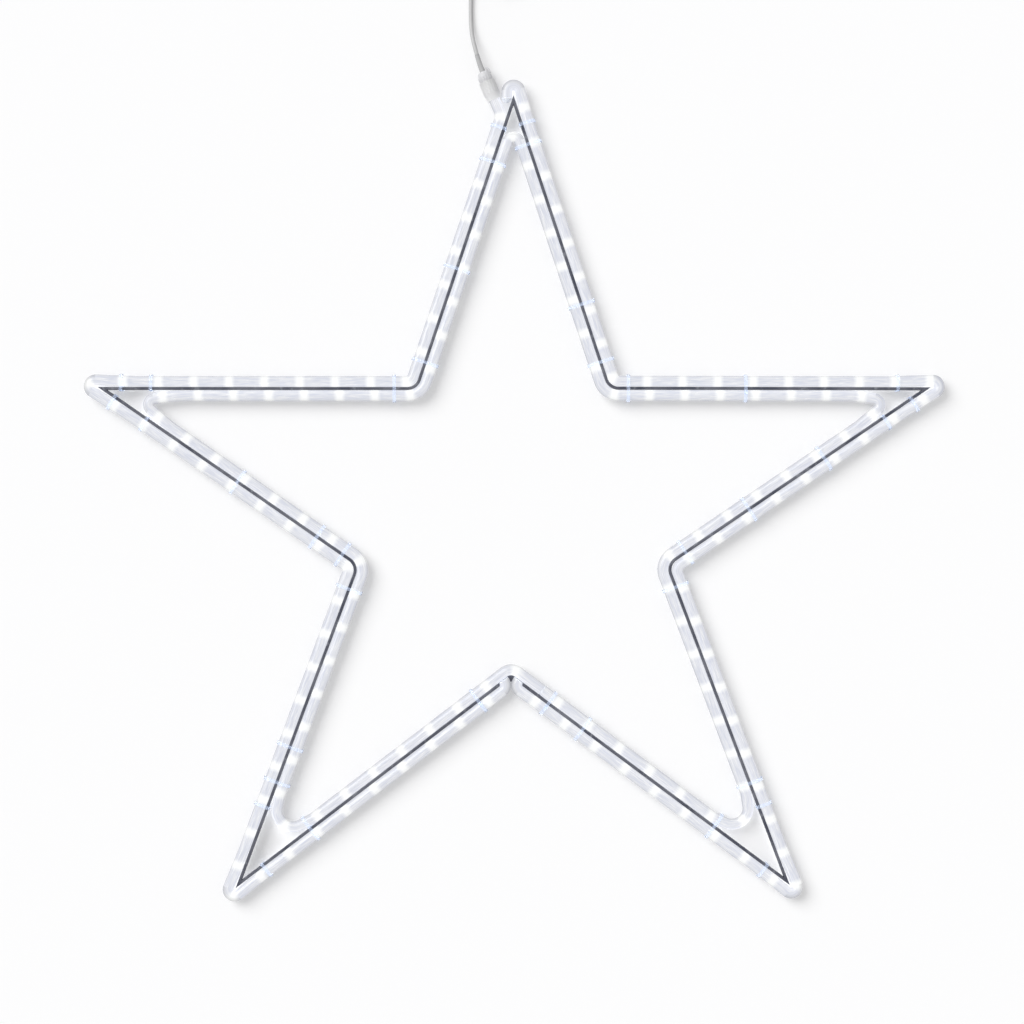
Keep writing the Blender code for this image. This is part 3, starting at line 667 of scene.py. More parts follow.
plug_start = cord_line[-1] + Vector((CLEARANCE, 0, 0))
body_thickness = PLUG_THICKNESS - 2 * RIDGE_HEIGHT
plug_body = box_piece((PLUG_LENGTH, 2 * PLUG_HALF, body_thickness),
                      plug_start + Vector((PLUG_LENGTH / 2, 0, 0)))
open_mesh(plug_body)
bpy.ops.mesh.bisect(plane_co=plug_start + Vector((PLUG_BACK, 0, 0)), plane_no=(1, 0, 0))
close_mesh()
for vertex in plug_body.data.vertices:
    along = vertex.co.x - plug_start.x
    across = PLUG_HALF if CLEARANCE < along < PLUG_LENGTH - CLEARANCE else PLUG_NOSE
    across = PLUG_NECK if along < CLEARANCE else across
    vertex.co.y = plug_start.y + math.copysign(across, vertex.co.y - plug_start.y)
soften(plug_body, PLUG_ROUNDING, 4)
ridges = []
for k in range(RIDGES):
    place = plug_start + Vector((FIRST_RIDGE + k * RIDGE_PITCH, 0, 0))
    ridge = box_piece((RIDGE_WIDTH, RIDGE_LENGTH, PLUG_THICKNESS), place)
    soften(ridge, RIDGE_ROUNDING)
    ridges.append(ridge)
plug_body = join([plug_body] + ridges)
hang(plug_body, "mains_plug_body", moulded_finish, "ring", "mains_plug")
print(f"plug: {PLUG_LENGTH * 1000:.0f} mm long with {RIDGES} ridges")

# %% [markdown]
# ### Brass pins
# Both pins, and the small contact block inside the connector, are brass. Fine scratches along the
# metal and slightly uneven polish come from a stretched noise. Each pin is turned, with a rounded
# tip.

# %% Brass pins
PIN_RADIUS, PIN_LENGTH, PIN_SPACING = 0.002, 0.019, 0.019
TIP_ANGLES = (0, 0.5, 1.0, 1.35)

brass_finish = grained_finish(
    "polished brass", ((0.62, 0.45, 0.19), (0.76, 0.58, 0.27), 120),
    (0.16, 0.38, 500, 4, (0.1, 1, 1)), (0.12, 900, 3, (0.08, 1, 1)), Metallic=1.0,
)

for name, way in (("mains_pin_left", 1), ("mains_pin_right", -1)):
    tip = [(PIN_RADIUS * math.cos(a), PIN_LENGTH - PIN_RADIUS * (1 - math.sin(a)))
           for a in TIP_ANGLES]
    pin = turned([(PIN_RADIUS, 0)] + tip, 20)
    place = plug_start + Vector((PLUG_LENGTH + CLEARANCE, way * PIN_SPACING / 2, 0))
    put(pin, place, (1, 0, 0))
    hang(pin, name.replace("mains", "brass"), brass_finish, "contacts", name, smooth=50)
for material_slot in bpy.data.objects["connector_contacts"].material_slots:
    material_slot.material = brass_finish

# %% [markdown]
# ## Clear nylon and flat outlines
# The strap round the coil and the cable ties are nylon: clear with a blue cast. A faint blue
# painted glow makes it show pale over the dark steel. Each band is a flat outline with a hole,
# given its width. The steel strip will be made in the same way, because a flat curve that is
# extruded and bevelled has clean rounded edges all the way round.

# %% Nylon and flat outlines
# Its emission is a faint blue painted glow that lifts the nylon over the dark steel.
nylon_finish = grained_finish(
    "clear nylon", ((0.88, 0.92, 0.98), (0.95, 0.97, 1.0), 160), (0.12, 0.3, 500), (0.2, 1200),
    IOR=1.3, Transmission_Weight=0.9,
    Emission_Color=(0.45, 0.6, 0.95, 1), Emission_Strength=0.09,
)


def plate(outlines, thickness, edge, rounding=2):
    """A flat piece from closed outlines, the later ones holes, with rounded edges."""
    curve = bpy.data.curves.new("outline", "CURVE")
    curve.dimensions = "2D"
    curve.fill_mode = "BOTH"
    curve.extrude = thickness / 2 - edge
    curve.bevel_depth = edge
    curve.bevel_resolution = rounding
    curve.offset = -edge
    for outline in outlines:
        add_line(curve, [(*point, 0) for point in outline]).use_cyclic_u = True
    return add_object("curve", curve)


def arc(centre, radius, start, end, steps=12):
    """Points on an arc; its start and end are counted in quarter turns from the right."""
    turns = [math.pi / 2 * (start + (end - start) * k / steps) for k in range(steps + 1)]
    return [(centre[0] + radius * math.cos(turn), centre[1] + radius * math.sin(turn))
            for turn in turns]


def rounded_box(left, right, bottom, top, radius):
    """A rectangle's outline with round corners."""
    left, right, bottom, top = left + radius, right - radius, bottom + radius, top - radius
    corners = ((right, top), (left, top), (left, bottom), (right, bottom))
    return [point for quarter, corner in enumerate(corners)
            for point in arc(corner, radius, quarter, quarter + 1, 4)]


print("nylon and outline helpers ready")

# %% [markdown]
# ### The strap round the coil
# The strap holds the coil's turns together. Its hole is as large as the bundle's section and a
# little clearance. It stands upright, across the bundle on the side away from the lead. With it the
# cord is complete.

# %% Coil's strap
STRAP_WIDTH, STRAP_THICKNESS, STRAP_CORNER = 0.005, 0.001, 0.001

near = COIL_INNER - CORD_RADIUS - CLEARANCE
far = coil_outer + CORD_RADIUS + CLEARANCE
low = COIL_LIFT - CLEARANCE
high = COIL_LIFT + 2 * CORD_RADIUS + COIL_PITCH + CLEARANCE
wall = STRAP_THICKNESS
outlines = [
    rounded_box(near - wall, far + wall, low - wall, high + wall, STRAP_CORNER + wall),
    rounded_box(near, far, low, high, STRAP_CORNER),
]
strap = plate(outlines, STRAP_WIDTH, FINE_EDGE)
strap.matrix_world = Matrix.Translation(coil_centre) @ Matrix.Rotation(math.pi / 2, 4, "X")
strap = keep_place(to_mesh(strap))
hang(strap, "coil_strap", nylon_finish, "ties", "coil_tie")

# %% [markdown]
# ## The steel strip
# The outline is one flat bar, 13 mm deep and 3.2 mm thick, standing on edge. It is folded sharply
# at the five points and bent over a former in the valleys between them. The same line is needed
# for the ropes, so a helper runs a line round a row of pulleys, one for each bend.

# %% Lines round pulleys
ARC_STEP = math.radians(6)


def sides_at(corner):
    return side_direction(corner - 1), side_direction(corner)


def mitre(corner, offset):
    """Where the two sides at a corner meet once both are moved out by the offset."""
    before, after = (-left_of(way) for way in sides_at(corner))
    return CORNERS[corner] + (before + after) * offset / (1 + before.dot(after))


def outward(corner):
    before, after = sides_at(corner)
    return (before - after).normalized()


def half_angle(corner):
    return math.acos(max(-1, min(1, outward(corner).dot(side_direction(corner - 1)))))


def bend_at(point, before, after, radius):
    """The pulley that rounds a corner of a line to a radius."""
    half_turn = before.angle(after) / 2
    centre = point + (after - before).normalized() * radius / math.cos(half_turn)
    turn = 1 if before.x * after.y - before.y * after.x > 0 else -1
    return centre, radius, turn


def valley(corner, offset, radius):
    return bend_at(mitre(corner, offset), *sides_at(corner), radius)


def stop_at(point):
    return point, 0, 1


def belt(pulleys):
    """The line that runs round each pulley in turn: straight tangents, and arcs in equal steps."""
    legs = []
    for (centre, radius, turn), (next_centre, next_radius, next_turn) in zip(pulleys, pulleys[1:]):
        across = next_centre - centre
        tilt = math.asin((next_turn * next_radius - turn * radius) / across.length)
        along = Matrix.Rotation(-tilt, 2) @ across.normalized()
        left = left_of(along)
        start = centre - left * turn * radius
        legs.append((start, next_centre - left * next_turn * next_radius, along))
    points = [legs[0][0]]
    for (centre, radius, turn), leg, next_leg in zip(pulleys[1:], legs, legs[1:]):
        if radius == 0:
            points.append(centre)
            continue
        sweep = leg[2].angle(next_leg[2]) * turn
        steps = max(1, math.ceil(abs(sweep) / ARC_STEP))
        spoke = leg[1] - centre
        for step in range(steps + 1):
            points.append(centre + Matrix.Rotation(sweep * step / steps, 2) @ spoke)
    points.append(legs[-1][1])
    return points


print("pulley helpers ready")

# %% [markdown]
# ### Bending the strip
# Powder coat is dark blue-grey, mottled, and rubbed a little lighter in spots. The strip's outline
# runs once round the outer edge and back along the inner one, from end to end, so it is one closed
# shape with the gap at the crotch where the two ends meet.

# %% Strip
STRIP_EDGE = 0.0004
STRIP_CUT = (ROPE_OFFSET + ROPE_RADIUS + CLEARANCE / 2) / side_direction(CROTCH).x
LEFT_STRIP_END = CORNERS[CROTCH] - side_direction(CROTCH - 1) * STRIP_CUT
RIGHT_STRIP_END = CORNERS[CROTCH] + side_direction(CROTCH) * STRIP_CUT

steel_finish, tree, shader = new_finish(
    "dark powder coat", (0.1, 0.105, 0.13), 0.45, Specular_IOR_Level=0.3
)
patches = object_noise(tree, 35, 4)
worn = ramp(tree, object_noise(tree, 140, 5), 0, 1, 0.58, 0.72)
plain = blend_colors(tree, ramp(tree, patches, 0, 1, 0.35, 0.65),
                     (0.055, 0.06, 0.085), (0.15, 0.155, 0.185))
feed(shader,
     Base_Color=blend_colors(tree, worn, plain, (0.2, 0.21, 0.24)),
     Roughness=ramp(tree, object_noise(tree, 260), 0.35, 0.6))
add_bump(tree, shader, object_noise(tree, 1600, 4), 0.4)


def strip_edge(offset):
    """One long edge of the strip, from its right end anticlockwise to its left end."""
    start = RIGHT_STRIP_END - left_of(side_direction(CROTCH)) * offset
    end = LEFT_STRIP_END - left_of(side_direction(CROTCH - 1)) * offset
    pulleys = [stop_at(start)]
    for step in range(1, SIDES):
        corner = (CROTCH + step) % SIDES
        if corner % 2:
            pulleys.append(valley(corner, offset, STRIP_BEND - offset))
        else:
            pulleys.append(stop_at(mitre(corner, offset)))
    return belt(pulleys + [stop_at(end)])


strip_outline = strip_edge(STRIP_THICKNESS / 2) + strip_edge(-STRIP_THICKNESS / 2)[::-1]
strip = plate([strip_outline], STRIP_DEPTH, STRIP_EDGE, 1)
strip.location.z = ROPE_HEIGHT
strip = keep_place(to_mesh(strip))
hang(strip, "steel_strip", steel_finish, "steel", "frame_strip")
for material_slot in bpy.data.objects["frame_joiner"].material_slots:
    material_slot.material = steel_finish
print(f"strip: {len(strip.data.polygons)} faces")

# %% [markdown]
# ## The ropes' lines
# There are three lengths of rope light. Two run outside the strip, one down each side of the star.
# They follow it at half their own thickness, loop wide round the points, and take the valleys in an
# easy bend. At the crotch each one curls round its end of the strip, and at the top the left one
# leaves for the connector.

# %% Outer ropes' lines
OUTER_TIP_BEND, OUTER_VALLEY_BEND = 0.0077, 0.0095
TOP_LOOP_BEYOND, LOOP_BEYOND, OUTER_SETTLE = 0.0101, 0.0085, 0.04
END_STRAIGHT, TAIL_PLACE = 0.0002, 0.0002


def outer_way(side):
    return stop_at(on_side(side, OUTER_SETTLE, ROPE_OFFSET))


def outer_pulleys(corners):
    """The pulleys outside a row of corners: one in each valley, and a wide loop at each point."""
    pulleys = []
    for corner in corners:
        if corner % 2:
            pulleys.append(valley(corner, ROPE_OFFSET, OUTER_VALLEY_BEND))
            continue
        beyond = TOP_LOOP_BEYOND if corner == TOP else LOOP_BEYOND
        loop = (CORNERS[corner] + outward(corner) * beyond, OUTER_TIP_BEND, 1)
        pulleys += [outer_way(corner - 1), loop, outer_way(corner)]
    return pulleys


def outer_left_line():
    pulleys = [
        stop_at(along_lead(SLEEVE_START + ROPE_INTO_SOCKET)),
        bend_at(BEND_POINT, -LEAD_OUT, side_direction(TOP), CONNECTOR_BEND),
    ]
    pulleys += outer_pulleys(range(1, CROTCH))
    along = side_direction(CROTCH - 1)
    end = LEFT_STRIP_END + along * ROPE_OFFSET + left_of(along) * END_STRAIGHT
    return belt(pulleys + [(LEFT_STRIP_END, ROPE_OFFSET, 1), stop_at(end)])


def outer_right_line():
    along = side_direction(CROTCH)
    start = RIGHT_STRIP_END - along * ROPE_OFFSET + left_of(along) * END_STRAIGHT
    pulleys = [stop_at(start), (RIGHT_STRIP_END, ROPE_OFFSET, 1)]
    pulleys += outer_pulleys([*range(CROTCH + 1, SIDES), TOP])[:-1]
    return belt(pulleys + [stop_at(on_side(TOP, TAIL_PLACE, ROPE_OFFSET))])


print("outer lines ready")

# %% [markdown]
# ### The inner rope's line
# The third rope runs all the way round the inside. It can't follow the sharp points, so it turns
# back before them: tightly in the arms and at the top, and in a wide arc in the feet. Its ends meet
# at a splice beside the crotch.

# %% Inner rope's line
NARROW_TURN, ARM_TURN_DEPTH = 0.0075, 0.0645
FOOT_TURN, FOOT_TURN_DEPTH = 0.019, 0.1073
INNER_SETTLE, ARM_INNER_SETTLE, ARCH_BEND = 0.012, 0.028, 0.0145
SPLICE_PLACE, PLUG_FLANGE = 0.04, 0.0009


def inner_turn(corner):
    """How far down a point the inner rope turns back, how tightly, and how soon it settles."""
    if corner == TOP:
        snug = (NARROW_TURN + ROPE_OFFSET + CLEARANCE) / math.sin(half_angle(corner))
        return snug, NARROW_TURN, INNER_SETTLE
    if corner in (CROTCH - 1, CROTCH + 1):
        return FOOT_TURN_DEPTH, FOOT_TURN, INNER_SETTLE
    return ARM_TURN_DEPTH, NARROW_TURN, ARM_INNER_SETTLE


def inner_line():
    crotch_side = side_span(CROTCH).length - SPLICE_PLACE
    gap = PLUG_FLANGE / 2 + CLEARANCE
    pulleys = [stop_at(on_side(CROTCH, crotch_side - gap, -ROPE_OFFSET))]
    for step in range(1, SIDES):
        corner = (CROTCH + step) % SIDES
        if corner % 2:
            pulleys.append(valley(corner, -ROPE_OFFSET, STRIP_BEND + ROPE_OFFSET))
            continue
        depth, radius, settle = inner_turn(corner)
        settled = depth * math.cos(half_angle(corner)) + settle
        before = on_side((corner - 1) % SIDES, settled, -ROPE_OFFSET)
        after = on_side(corner, settled, -ROPE_OFFSET)
        turn = (CORNERS[corner] - outward(corner) * depth, radius, 1)
        pulleys += [stop_at(before), turn, stop_at(after)]
    pulleys.append(valley(CROTCH, -ROPE_OFFSET, ARCH_BEND))
    return belt(pulleys + [stop_at(on_side(CROTCH, crotch_side + gap, -ROPE_OFFSET))])


ROPE_LINES = {
    "outer_left": outer_left_line(),
    "outer_right": outer_right_line(),
    "inner": inner_line(),
}
for name, line in ROPE_LINES.items():
    print(f"{name}: {lengths_along(line)[-1]:.3f} m")

# %% [markdown]
# ## The rope's clear PVC
# Rope light is a soft clear tube, moulded over its lamps. Between the lamps it has a pale lavender
# grey tone with fine streaks along its length. Round each lamp the plastic scatters the light, so
# a short block of the rope glows white over its full width. Both patterns have to follow the rope
# round its bends, so they read the rope's own unrolled UV map. One number counts lamp spacings
# along the rope, with a lamp at each whole number. The other goes round from the top: its cosine
# says how far the wall faces up, and its sine how far it faces the strip.

# %% PVC finish
LED_PITCH, GLOW_HALF, GLOW_FADE = 0.0417, 0.005, 0.005
# UNDERSIDE_GLOW scales the painted glow under the wall beside the strip.
CLEAR_GLOW, LAMP_GLOW, UNDERSIDE_GLOW = 0.6, 0.72, 6.0
STREAK_SCALE, STREAK_HEIGHT = (2.5, 4, 4), 0.0004

pvc_finish, tree, shader = new_finish(
    "clear rope PVC", (0.16, 0.165, 0.18), 0.2, IOR=1.45, Transmission_Weight=0.3
)
unrolled = add_node(tree, "UVMap", uv_map="unrolled")
split = add_node(tree, "SeparateXYZ", {0: unrolled.outputs[0]})
along, around = split.outputs["X"], split.outputs["Y"]
angle = combine(tree, "MULTIPLY", around, math.tau)
facing_up = combine(tree, "COSINE", angle)
facing_strip = combine(tree, "SINE", angle)
wrapped = add_node(tree, "CombineXYZ", {"X": along, "Y": facing_up, "Z": facing_strip})
stretched = add_node(tree, "Mapping", {"Vector": wrapped.outputs[0], "Scale": STREAK_SCALE})
inputs = {"Vector": stretched.outputs[0], "Scale": 1.0, "Detail": 4}
streaks = add_node(tree, "TexNoise", inputs).outputs["Fac"]
streaky = ramp(tree, streaks, 0, 1, 0.38, 0.62)
near, far = GLOW_HALF - GLOW_FADE / 2, GLOW_HALF + GLOW_FADE / 2
to_lamp = combine(tree, "PINGPONG", along, 0.5)
glow = ramp(tree, to_lamp, 1, 0, near / LED_PITCH, far / LED_PITCH)

clear = blend_colors(tree, streaky, (0.12, 0.125, 0.15), (0.2, 0.2, 0.215))
tint = blend_colors(tree, streaky, (0.86, 0.885, 0.97), (0.97, 0.98, 1.0))
feed(shader,
     Base_Color=blend_colors(tree, glow, clear, (0.2, 0.2, 0.2)),
     Emission_Color=blend_colors(tree, glow, tint, (0.99, 1.0, 1.0)),
     Roughness=ramp(tree, streaks, 0.12, 0.3, 0.3, 0.7))
add_bump(tree, shader, streaks, 0.25, STREAK_HEIGHT)
print("PVC colours ready")

# %% [markdown]
# ### How the light leaves the rope
# The clear wall glows all over, a little more at the lamps, and a painted highlight brightens it
# where it faces the strip. The edge that faces away from the strip is darkened with painted shade,
# and so is the outer wall of each tight bend, which draws a thin grey outline. The lower half glows
# less, so the shadows stay, but beside the strip a painted glow goes underneath and stands in for
# the sunlight that the clear rope focuses onto the floor, so the floor is as bright in the narrow
# tips as it is on the real star. Each of these is a share, and the shares are multiplied.

# %% PVC glow
bend = add_node(tree, "Attribute", attribute_name="bend").outputs["Fac"]
painted_bend_outline = combine(tree, "MULTIPLY", bend, facing_strip)
low_wall = ramp(tree, facing_up, 1, 0, -0.6, -0.3)
under_strip = combine(tree, "MULTIPLY", low_wall, ramp(tree, facing_strip, 0, 1, 0.1, 0.4))
brightness = ramp(tree, glow, CLEAR_GLOW, LAMP_GLOW)
for share in (
    # painted shade: a grey outline on the edge that faces away from the strip
    ramp(tree, facing_strip, 0.62, 1, -0.98, -0.74),
    # painted highlight on the wall that faces the strip
    ramp(tree, facing_strip, 1, 1.15, 0.3, 0.9),
    ramp(tree, facing_up, 0.45, 1, -0.4, 0.1),
    # painted shade: the outer wall of each tight bend darkens into a grey outline
    ramp(tree, painted_bend_outline, 1, 0.68, 0.1, 0.85),
    # painted glow under the wall beside the strip, standing in for sunlight focused onto the floor
    ramp(tree, under_strip, 1, UNDERSIDE_GLOW),
):
    brightness = combine(tree, "MULTIPLY", brightness, share)
feed(shader, Emission_Strength=brightness)
print("PVC finish ready")

# %% [markdown]
# ### Unrolling a rope
# A rope's mesh is a row of rings that come in order, so each face corner knows how far along and
# how far round it is, and that is its place on the UV map. The lamps are counted so that they sit
# evenly between the two ends. The rings in the tight bends are marked, for the painted outline.

# %% Unrolling
LED_LENGTH, STRING_INSET, TIGHT_BEND = 0.0052, 0.01, 0.0085


def lamp_count(length):
    return int((length - 2 * STRING_INSET - LED_LENGTH) / LED_PITCH)


def first_lamp(length):
    return (length - (lamp_count(length) - 1) * LED_PITCH) / 2


def unroll(tube, total, sides, strip_way):
    """Writes a UV map: U counts lamp spacings along the tube, V goes from the top to the strip."""
    mesh = tube.data
    ring = [vertex.co for vertex in mesh.vertices[:sides]]
    top = max(range(sides), key=lambda k: ring[k].z)
    onward = mesh.vertices[sides].co - ring[0]
    quarter = ring[(top + sides // 4) % sides] - ring[top]
    way = strip_way if quarter.dot(left_of(onward).to_3d()) > 0 else -strip_way
    while mesh.uv_layers:
        mesh.uv_layers.remove(mesh.uv_layers[0])
    layer = mesh.uv_layers.new(name="unrolled")
    first = first_lamp(total[-1])
    beyond = lamp_count(total[-1]) - 1 / 2
    for face in mesh.polygons:
        arounds = [(mesh.loops[k].vertex_index % sides - top) * way % sides
                   for k in face.loop_indices]
        wraps = max(arounds) - min(arounds) > 1
        for k, around in zip(face.loop_indices, arounds):
            around += sides if wraps and around == 0 else 0
            pitches = (total[mesh.loops[k].vertex_index // sides] - first) / LED_PITCH
            layer.data[k].uv = (max(-1 / 2, min(beyond, pitches)), around / sides)


def mark_bends(tube, points, sides, strip_way):
    """Stores the tight bends for the painted outline: 1 or -1 where the outer wall faces the strip
    or faces away.
    """
    bends = tube.data.attributes.new(name="bend", type="FLOAT", domain="POINT")
    for k in range(1, len(points) - 1):
        before, after = points[k] - points[k - 1], points[k + 1] - points[k]
        longest = max(before.length, after.length)
        if before.angle(after) * TIGHT_BEND > longest:
            for vertex in range(k * sides, (k + 1) * sides):
                bends.data[vertex].value = -strip_way


print("unrolling helpers ready")

# %% [markdown]
# ### Making the ropes
# Each rope is a round curve without caps, made a mesh and unrolled. The wall is then thickened
# inward, which leaves the bore for the lamps, so that the ends are open as on a cut tube.

# %% Ropes
ROPE_SIDES = 20

for name, line in ROPE_LINES.items():
    points = [level(point) for point in line]
    rope = converted(line_curve(points, ROPE_RADIUS, ROPE_SIDES // 2 - 2, caps=False))
    sides = len(rope.data.vertices) // len(points)
    strip_way = -1 if name == "inner" else 1
    unroll(rope, lengths_along(points), sides, strip_way)
    mark_bends(rope, points, sides, strip_way)
    open_mesh(rope)
    bpy.ops.mesh.normals_make_consistent(inside=False)
    close_mesh()
    apply_modifier(rope, "SOLIDIFY", thickness=ROPE_RADIUS - BORE_RADIUS, offset=-1)
    hang(rope, "rope_light_" + name, pvc_finish, "rope", "rope_" + name, smooth=50)
    print(f"{name} rope: {sides} sides, {len(rope.data.polygons)} faces")

# %% [markdown]
# ## The lamps
# In the bore sits a string of small lamps on two thin wires. One lamp is drawn out of a disc: a
# collar, a short barrel and a dome. It is copied to every place, each copy with its own mesh, and
# the copies of one rope are joined. The wires pass through the lamps, one wire over the other.

# %% Lamps on their wires
LED_RADIUS, WIRE_RADIUS, WIRE_APART, COLLAR = 0.0022, 0.0005, 0.0011, 0.0003

lamp_finish, tree, shader = new_finish(
    "lamp resin", (0.95, 0.97, 1.0), 0.25,
    Emission_Color=(0.93, 0.96, 1.0, 1), Emission_Strength=1.0,
)
feed(shader, Roughness=ramp(tree, object_noise(tree, 900), 0.15, 0.4))
wire_finish, tree, shader = new_finish("tinned wire", (0.75, 0.76, 0.78), 0.35, Metallic=0.9)
feed(shader, Roughness=ramp(tree, object_noise(tree, 1200), 0.25, 0.5))


def copy_of(model):
    """A copy with a mesh of its own."""
    return add_object(model.name, model.data.copy())


barrel = LED_LENGTH / 2
lamp_profile = [
    (LED_RADIUS, -barrel),
    (LED_RADIUS, -barrel + 2 * COLLAR),
    (LED_RADIUS - COLLAR, -barrel + 3 * COLLAR),
    (LED_RADIUS - COLLAR, barrel - LED_RADIUS),
    (0.7 * LED_RADIUS, barrel - 0.35 * LED_RADIUS),
    (0.25 * LED_RADIUS, barrel),
]
model_lamp = turned(lamp_profile, 8)
for name, line in ROPE_LINES.items():
    points = [level(point) for point in line]
    total = lengths_along(points)
    lamps = []
    for k in range(lamp_count(total[-1])):
        distance = first_lamp(total[-1]) + k * LED_PITCH
        here = point_at(points, total, distance)
        ahead = point_at(points, total, distance + LED_LENGTH / 4)
        lamp = copy_of(model_lamp)
        turn = (ahead - here).to_track_quat("Z", "Y").to_matrix().to_4x4()
        lamp.data.transform(Matrix.Translation(here) @ turn)
        lamps.append(lamp)
    string = join(lamps)
    hang(string, "lamps_" + name, lamp_finish, "lamps", "lamp_string_" + name, smooth=50)
    wires = []
    inset = [point for point, far in zip(points, total)
             if STRING_INSET < far < total[-1] - STRING_INSET]
    for way in (-1, 1):
        raised = [point + Vector((0, 0, way * WIRE_APART)) for point in inset]
        wires.append(to_mesh(line_curve(raised, WIRE_RADIUS, 0)))
    pair = join(wires)
    hang(pair, "wires_" + name, wire_finish, "lamps", smooth=60)
    print(f"{name}: {len(lamps)} lamps")
bpy.data.objects.remove(model_lamp, do_unlink=True)

# %% [markdown]
# ## The plugs in the ropes' ends
# Each cut end is closed with a clear plug, and the inner rope's two ends meet at a splice. They
# are turned pieces with a thin flange as wide as the rope. The one at the top point is tapered.

# %% End plugs
PLUG_STEM_RADIUS, PLUG_STEM, SHORT_STEM = 0.0019, 0.006, 0.002
TAPER_LENGTH, TAPER_RADIUS, PLUG_RADIUS = 0.0052, 0.0025, 0.0063

# Its emission is a painted glow: the clear plugs show pale as if lit from inside.
plug_finish = grained_finish(
    "clear plug PVC", ((0.74, 0.77, 0.84), (0.9, 0.92, 0.96), 150), (0.18, 0.4, 600),
    IOR=1.5, Transmission_Weight=0.4, Emission_Color=(0.95, 0.97, 1.0, 1), Emission_Strength=0.15,
)


def stem_profile(stem):
    return [
        (PLUG_STEM_RADIUS * 0.6, -stem),
        (PLUG_STEM_RADIUS, -stem + PLUG_STEM_RADIUS / 4),
        (PLUG_STEM_RADIUS, 0),
        (PLUG_RADIUS, 0),
        (PLUG_RADIUS, PLUG_FLANGE),
    ]


left, right, inner = ROPE_LINES.values()
dimple = [(PLUG_RADIUS / 2, PLUG_FLANGE), (PLUG_RADIUS / 3, PLUG_FLANGE / 2)]
cone = [(TAPER_RADIUS, TAPER_LENGTH), (TAPER_RADIUS / 2, TAPER_LENGTH)]
far_stem = [
    (PLUG_STEM_RADIUS, PLUG_FLANGE),
    (PLUG_STEM_RADIUS, PLUG_STEM),
    (PLUG_STEM_RADIUS * 0.6, PLUG_STEM + PLUG_FLANGE),
]
PLUGS = (
    ("end_plug_left", left[-1], left[-2], stem_profile(SHORT_STEM) + dimple),
    ("end_plug_right", right[0], right[1], stem_profile(SHORT_STEM) + dimple),
    ("end_plug_top", right[-1], right[-2], stem_profile(PLUG_STEM) + cone),
    ("inner_splice", inner[-1], inner[-2], stem_profile(PLUG_STEM) + far_stem),
)
for node, end, before, profile in PLUGS:
    along = (end - before).normalized()
    plug = turned(profile, 24)
    put(plug, level(end + along * CLEARANCE), (*along, 0))
    soften(plug)
    hang(plug, node.replace("end_", "rope_").replace("inner", "rope"), plug_finish, "plugs", node)
print(len(PLUGS), "plugs made")

# %% [markdown]
# ## The cable ties
# A cable tie is a nylon band with a small head that locks it. On this star the bands go round both
# ropes with the strip between them, or round one rope and the strip near the points. The band is a
# flat outline that runs at a set distance round whatever it holds, so it first has to know how far
# away each rope is.

# %% Tie bands
TIE_THICKNESS, TIE_WIDTH, BAND_CORNER = 0.0012, 0.004, 0.0015
TIE_INNER = ROPE_RADIUS + CLEARANCE
TIE_OUTER = TIE_INNER + TIE_THICKNESS
NEAR_SHARE = 1.25


def rope_offset(line, side, distance, way):
    """How far from the strip a rope passes at a place on a side, or None if it isn't near."""
    here = on_side(side, distance, 0)
    along = side_direction(side)
    for point, after in zip(line, line[1:]):
        reach, next_reach = (point - here).dot(along), (after - here).dot(along)
        if reach * next_reach > 0 or reach == next_reach:
            continue
        crossing = point.lerp(after, reach / (reach - next_reach))
        offset = -(crossing - here).dot(left_of(along))
        if 0 < offset * way < NEAR_SHARE * ROPE_OFFSET:
            return offset
    return None


def rope_reach(line, side, distance, way):
    edges = (distance - TIE_WIDTH / 2, distance + TIE_WIDTH / 2)
    offsets = [rope_offset(line, side, edge, way) for edge in edges]
    return None if None in offsets else max(offsets, key=abs)


def band_loops(outer, inner):
    """The band's two outlines, round both ropes or round the outer one and the strip."""
    loops = []
    for radius in (TIE_OUTER, TIE_INNER):
        loop = arc((outer, 0), radius, -1, 1)
        if inner:
            loop += arc((inner, 0), radius, 1, 3)
        else:
            corner = min(BAND_CORNER, radius / 4)
            left = corner - STRIP_THICKNESS / 2 - (radius - ROPE_RADIUS)
            loop += arc((left, radius - corner), corner, 1, 2, 4)
            loop += arc((left, corner - radius), corner, 2, 3, 4)
        loops.append(loop)
    return loops


print("band helpers ready")

# %% [markdown]
# ### The tie's head
# The head is modelled once: a small block with a slot in its far face and the cut end of the tail
# standing in it. The slot is one face, inset and pushed in.

# %% Tie head
TIE_HEAD_LENGTH, TIE_HEAD_HEIGHT, HEAD_ROUNDING = 0.0054, 0.0038, 0.00035
SLOT_MARGIN, TAIL_STUB, STUB_MARGIN = 0.0008, 0.0006, 0.0011

head_tall = TIE_HEAD_HEIGHT - TAIL_STUB
model_head = box_piece((TIE_HEAD_LENGTH, head_tall, TIE_WIDTH), (0, -TIE_OUTER - head_tall / 2, 0))
open_mesh(model_head, lambda face: face.normal.y < -0.9)
bpy.ops.mesh.inset(thickness=SLOT_MARGIN)
bpy.ops.mesh.extrude_region_move(TRANSFORM_OT_translate={"value": (0, head_tall / 3, 0)})
close_mesh()
soften(model_head, HEAD_ROUNDING)
stub = box_piece((TIE_THICKNESS, head_tall, TIE_WIDTH - 2 * STUB_MARGIN),
                 (TIE_HEAD_LENGTH / 8, -TIE_OUTER - TAIL_STUB - head_tall / 2, 0))
soften(stub)
model_head = join([model_head, stub])
print(f"tie head: {len(model_head.data.polygons)} faces")

# %% [markdown]
# ### Placing the ties
# Each tie is told only where along a side it sits, as a share of the side's length. How far each
# rope is from the strip there gives the band its shape. Most heads are at the back, and three are
# at the front. The finished tie is turned so that its width runs along the strip.

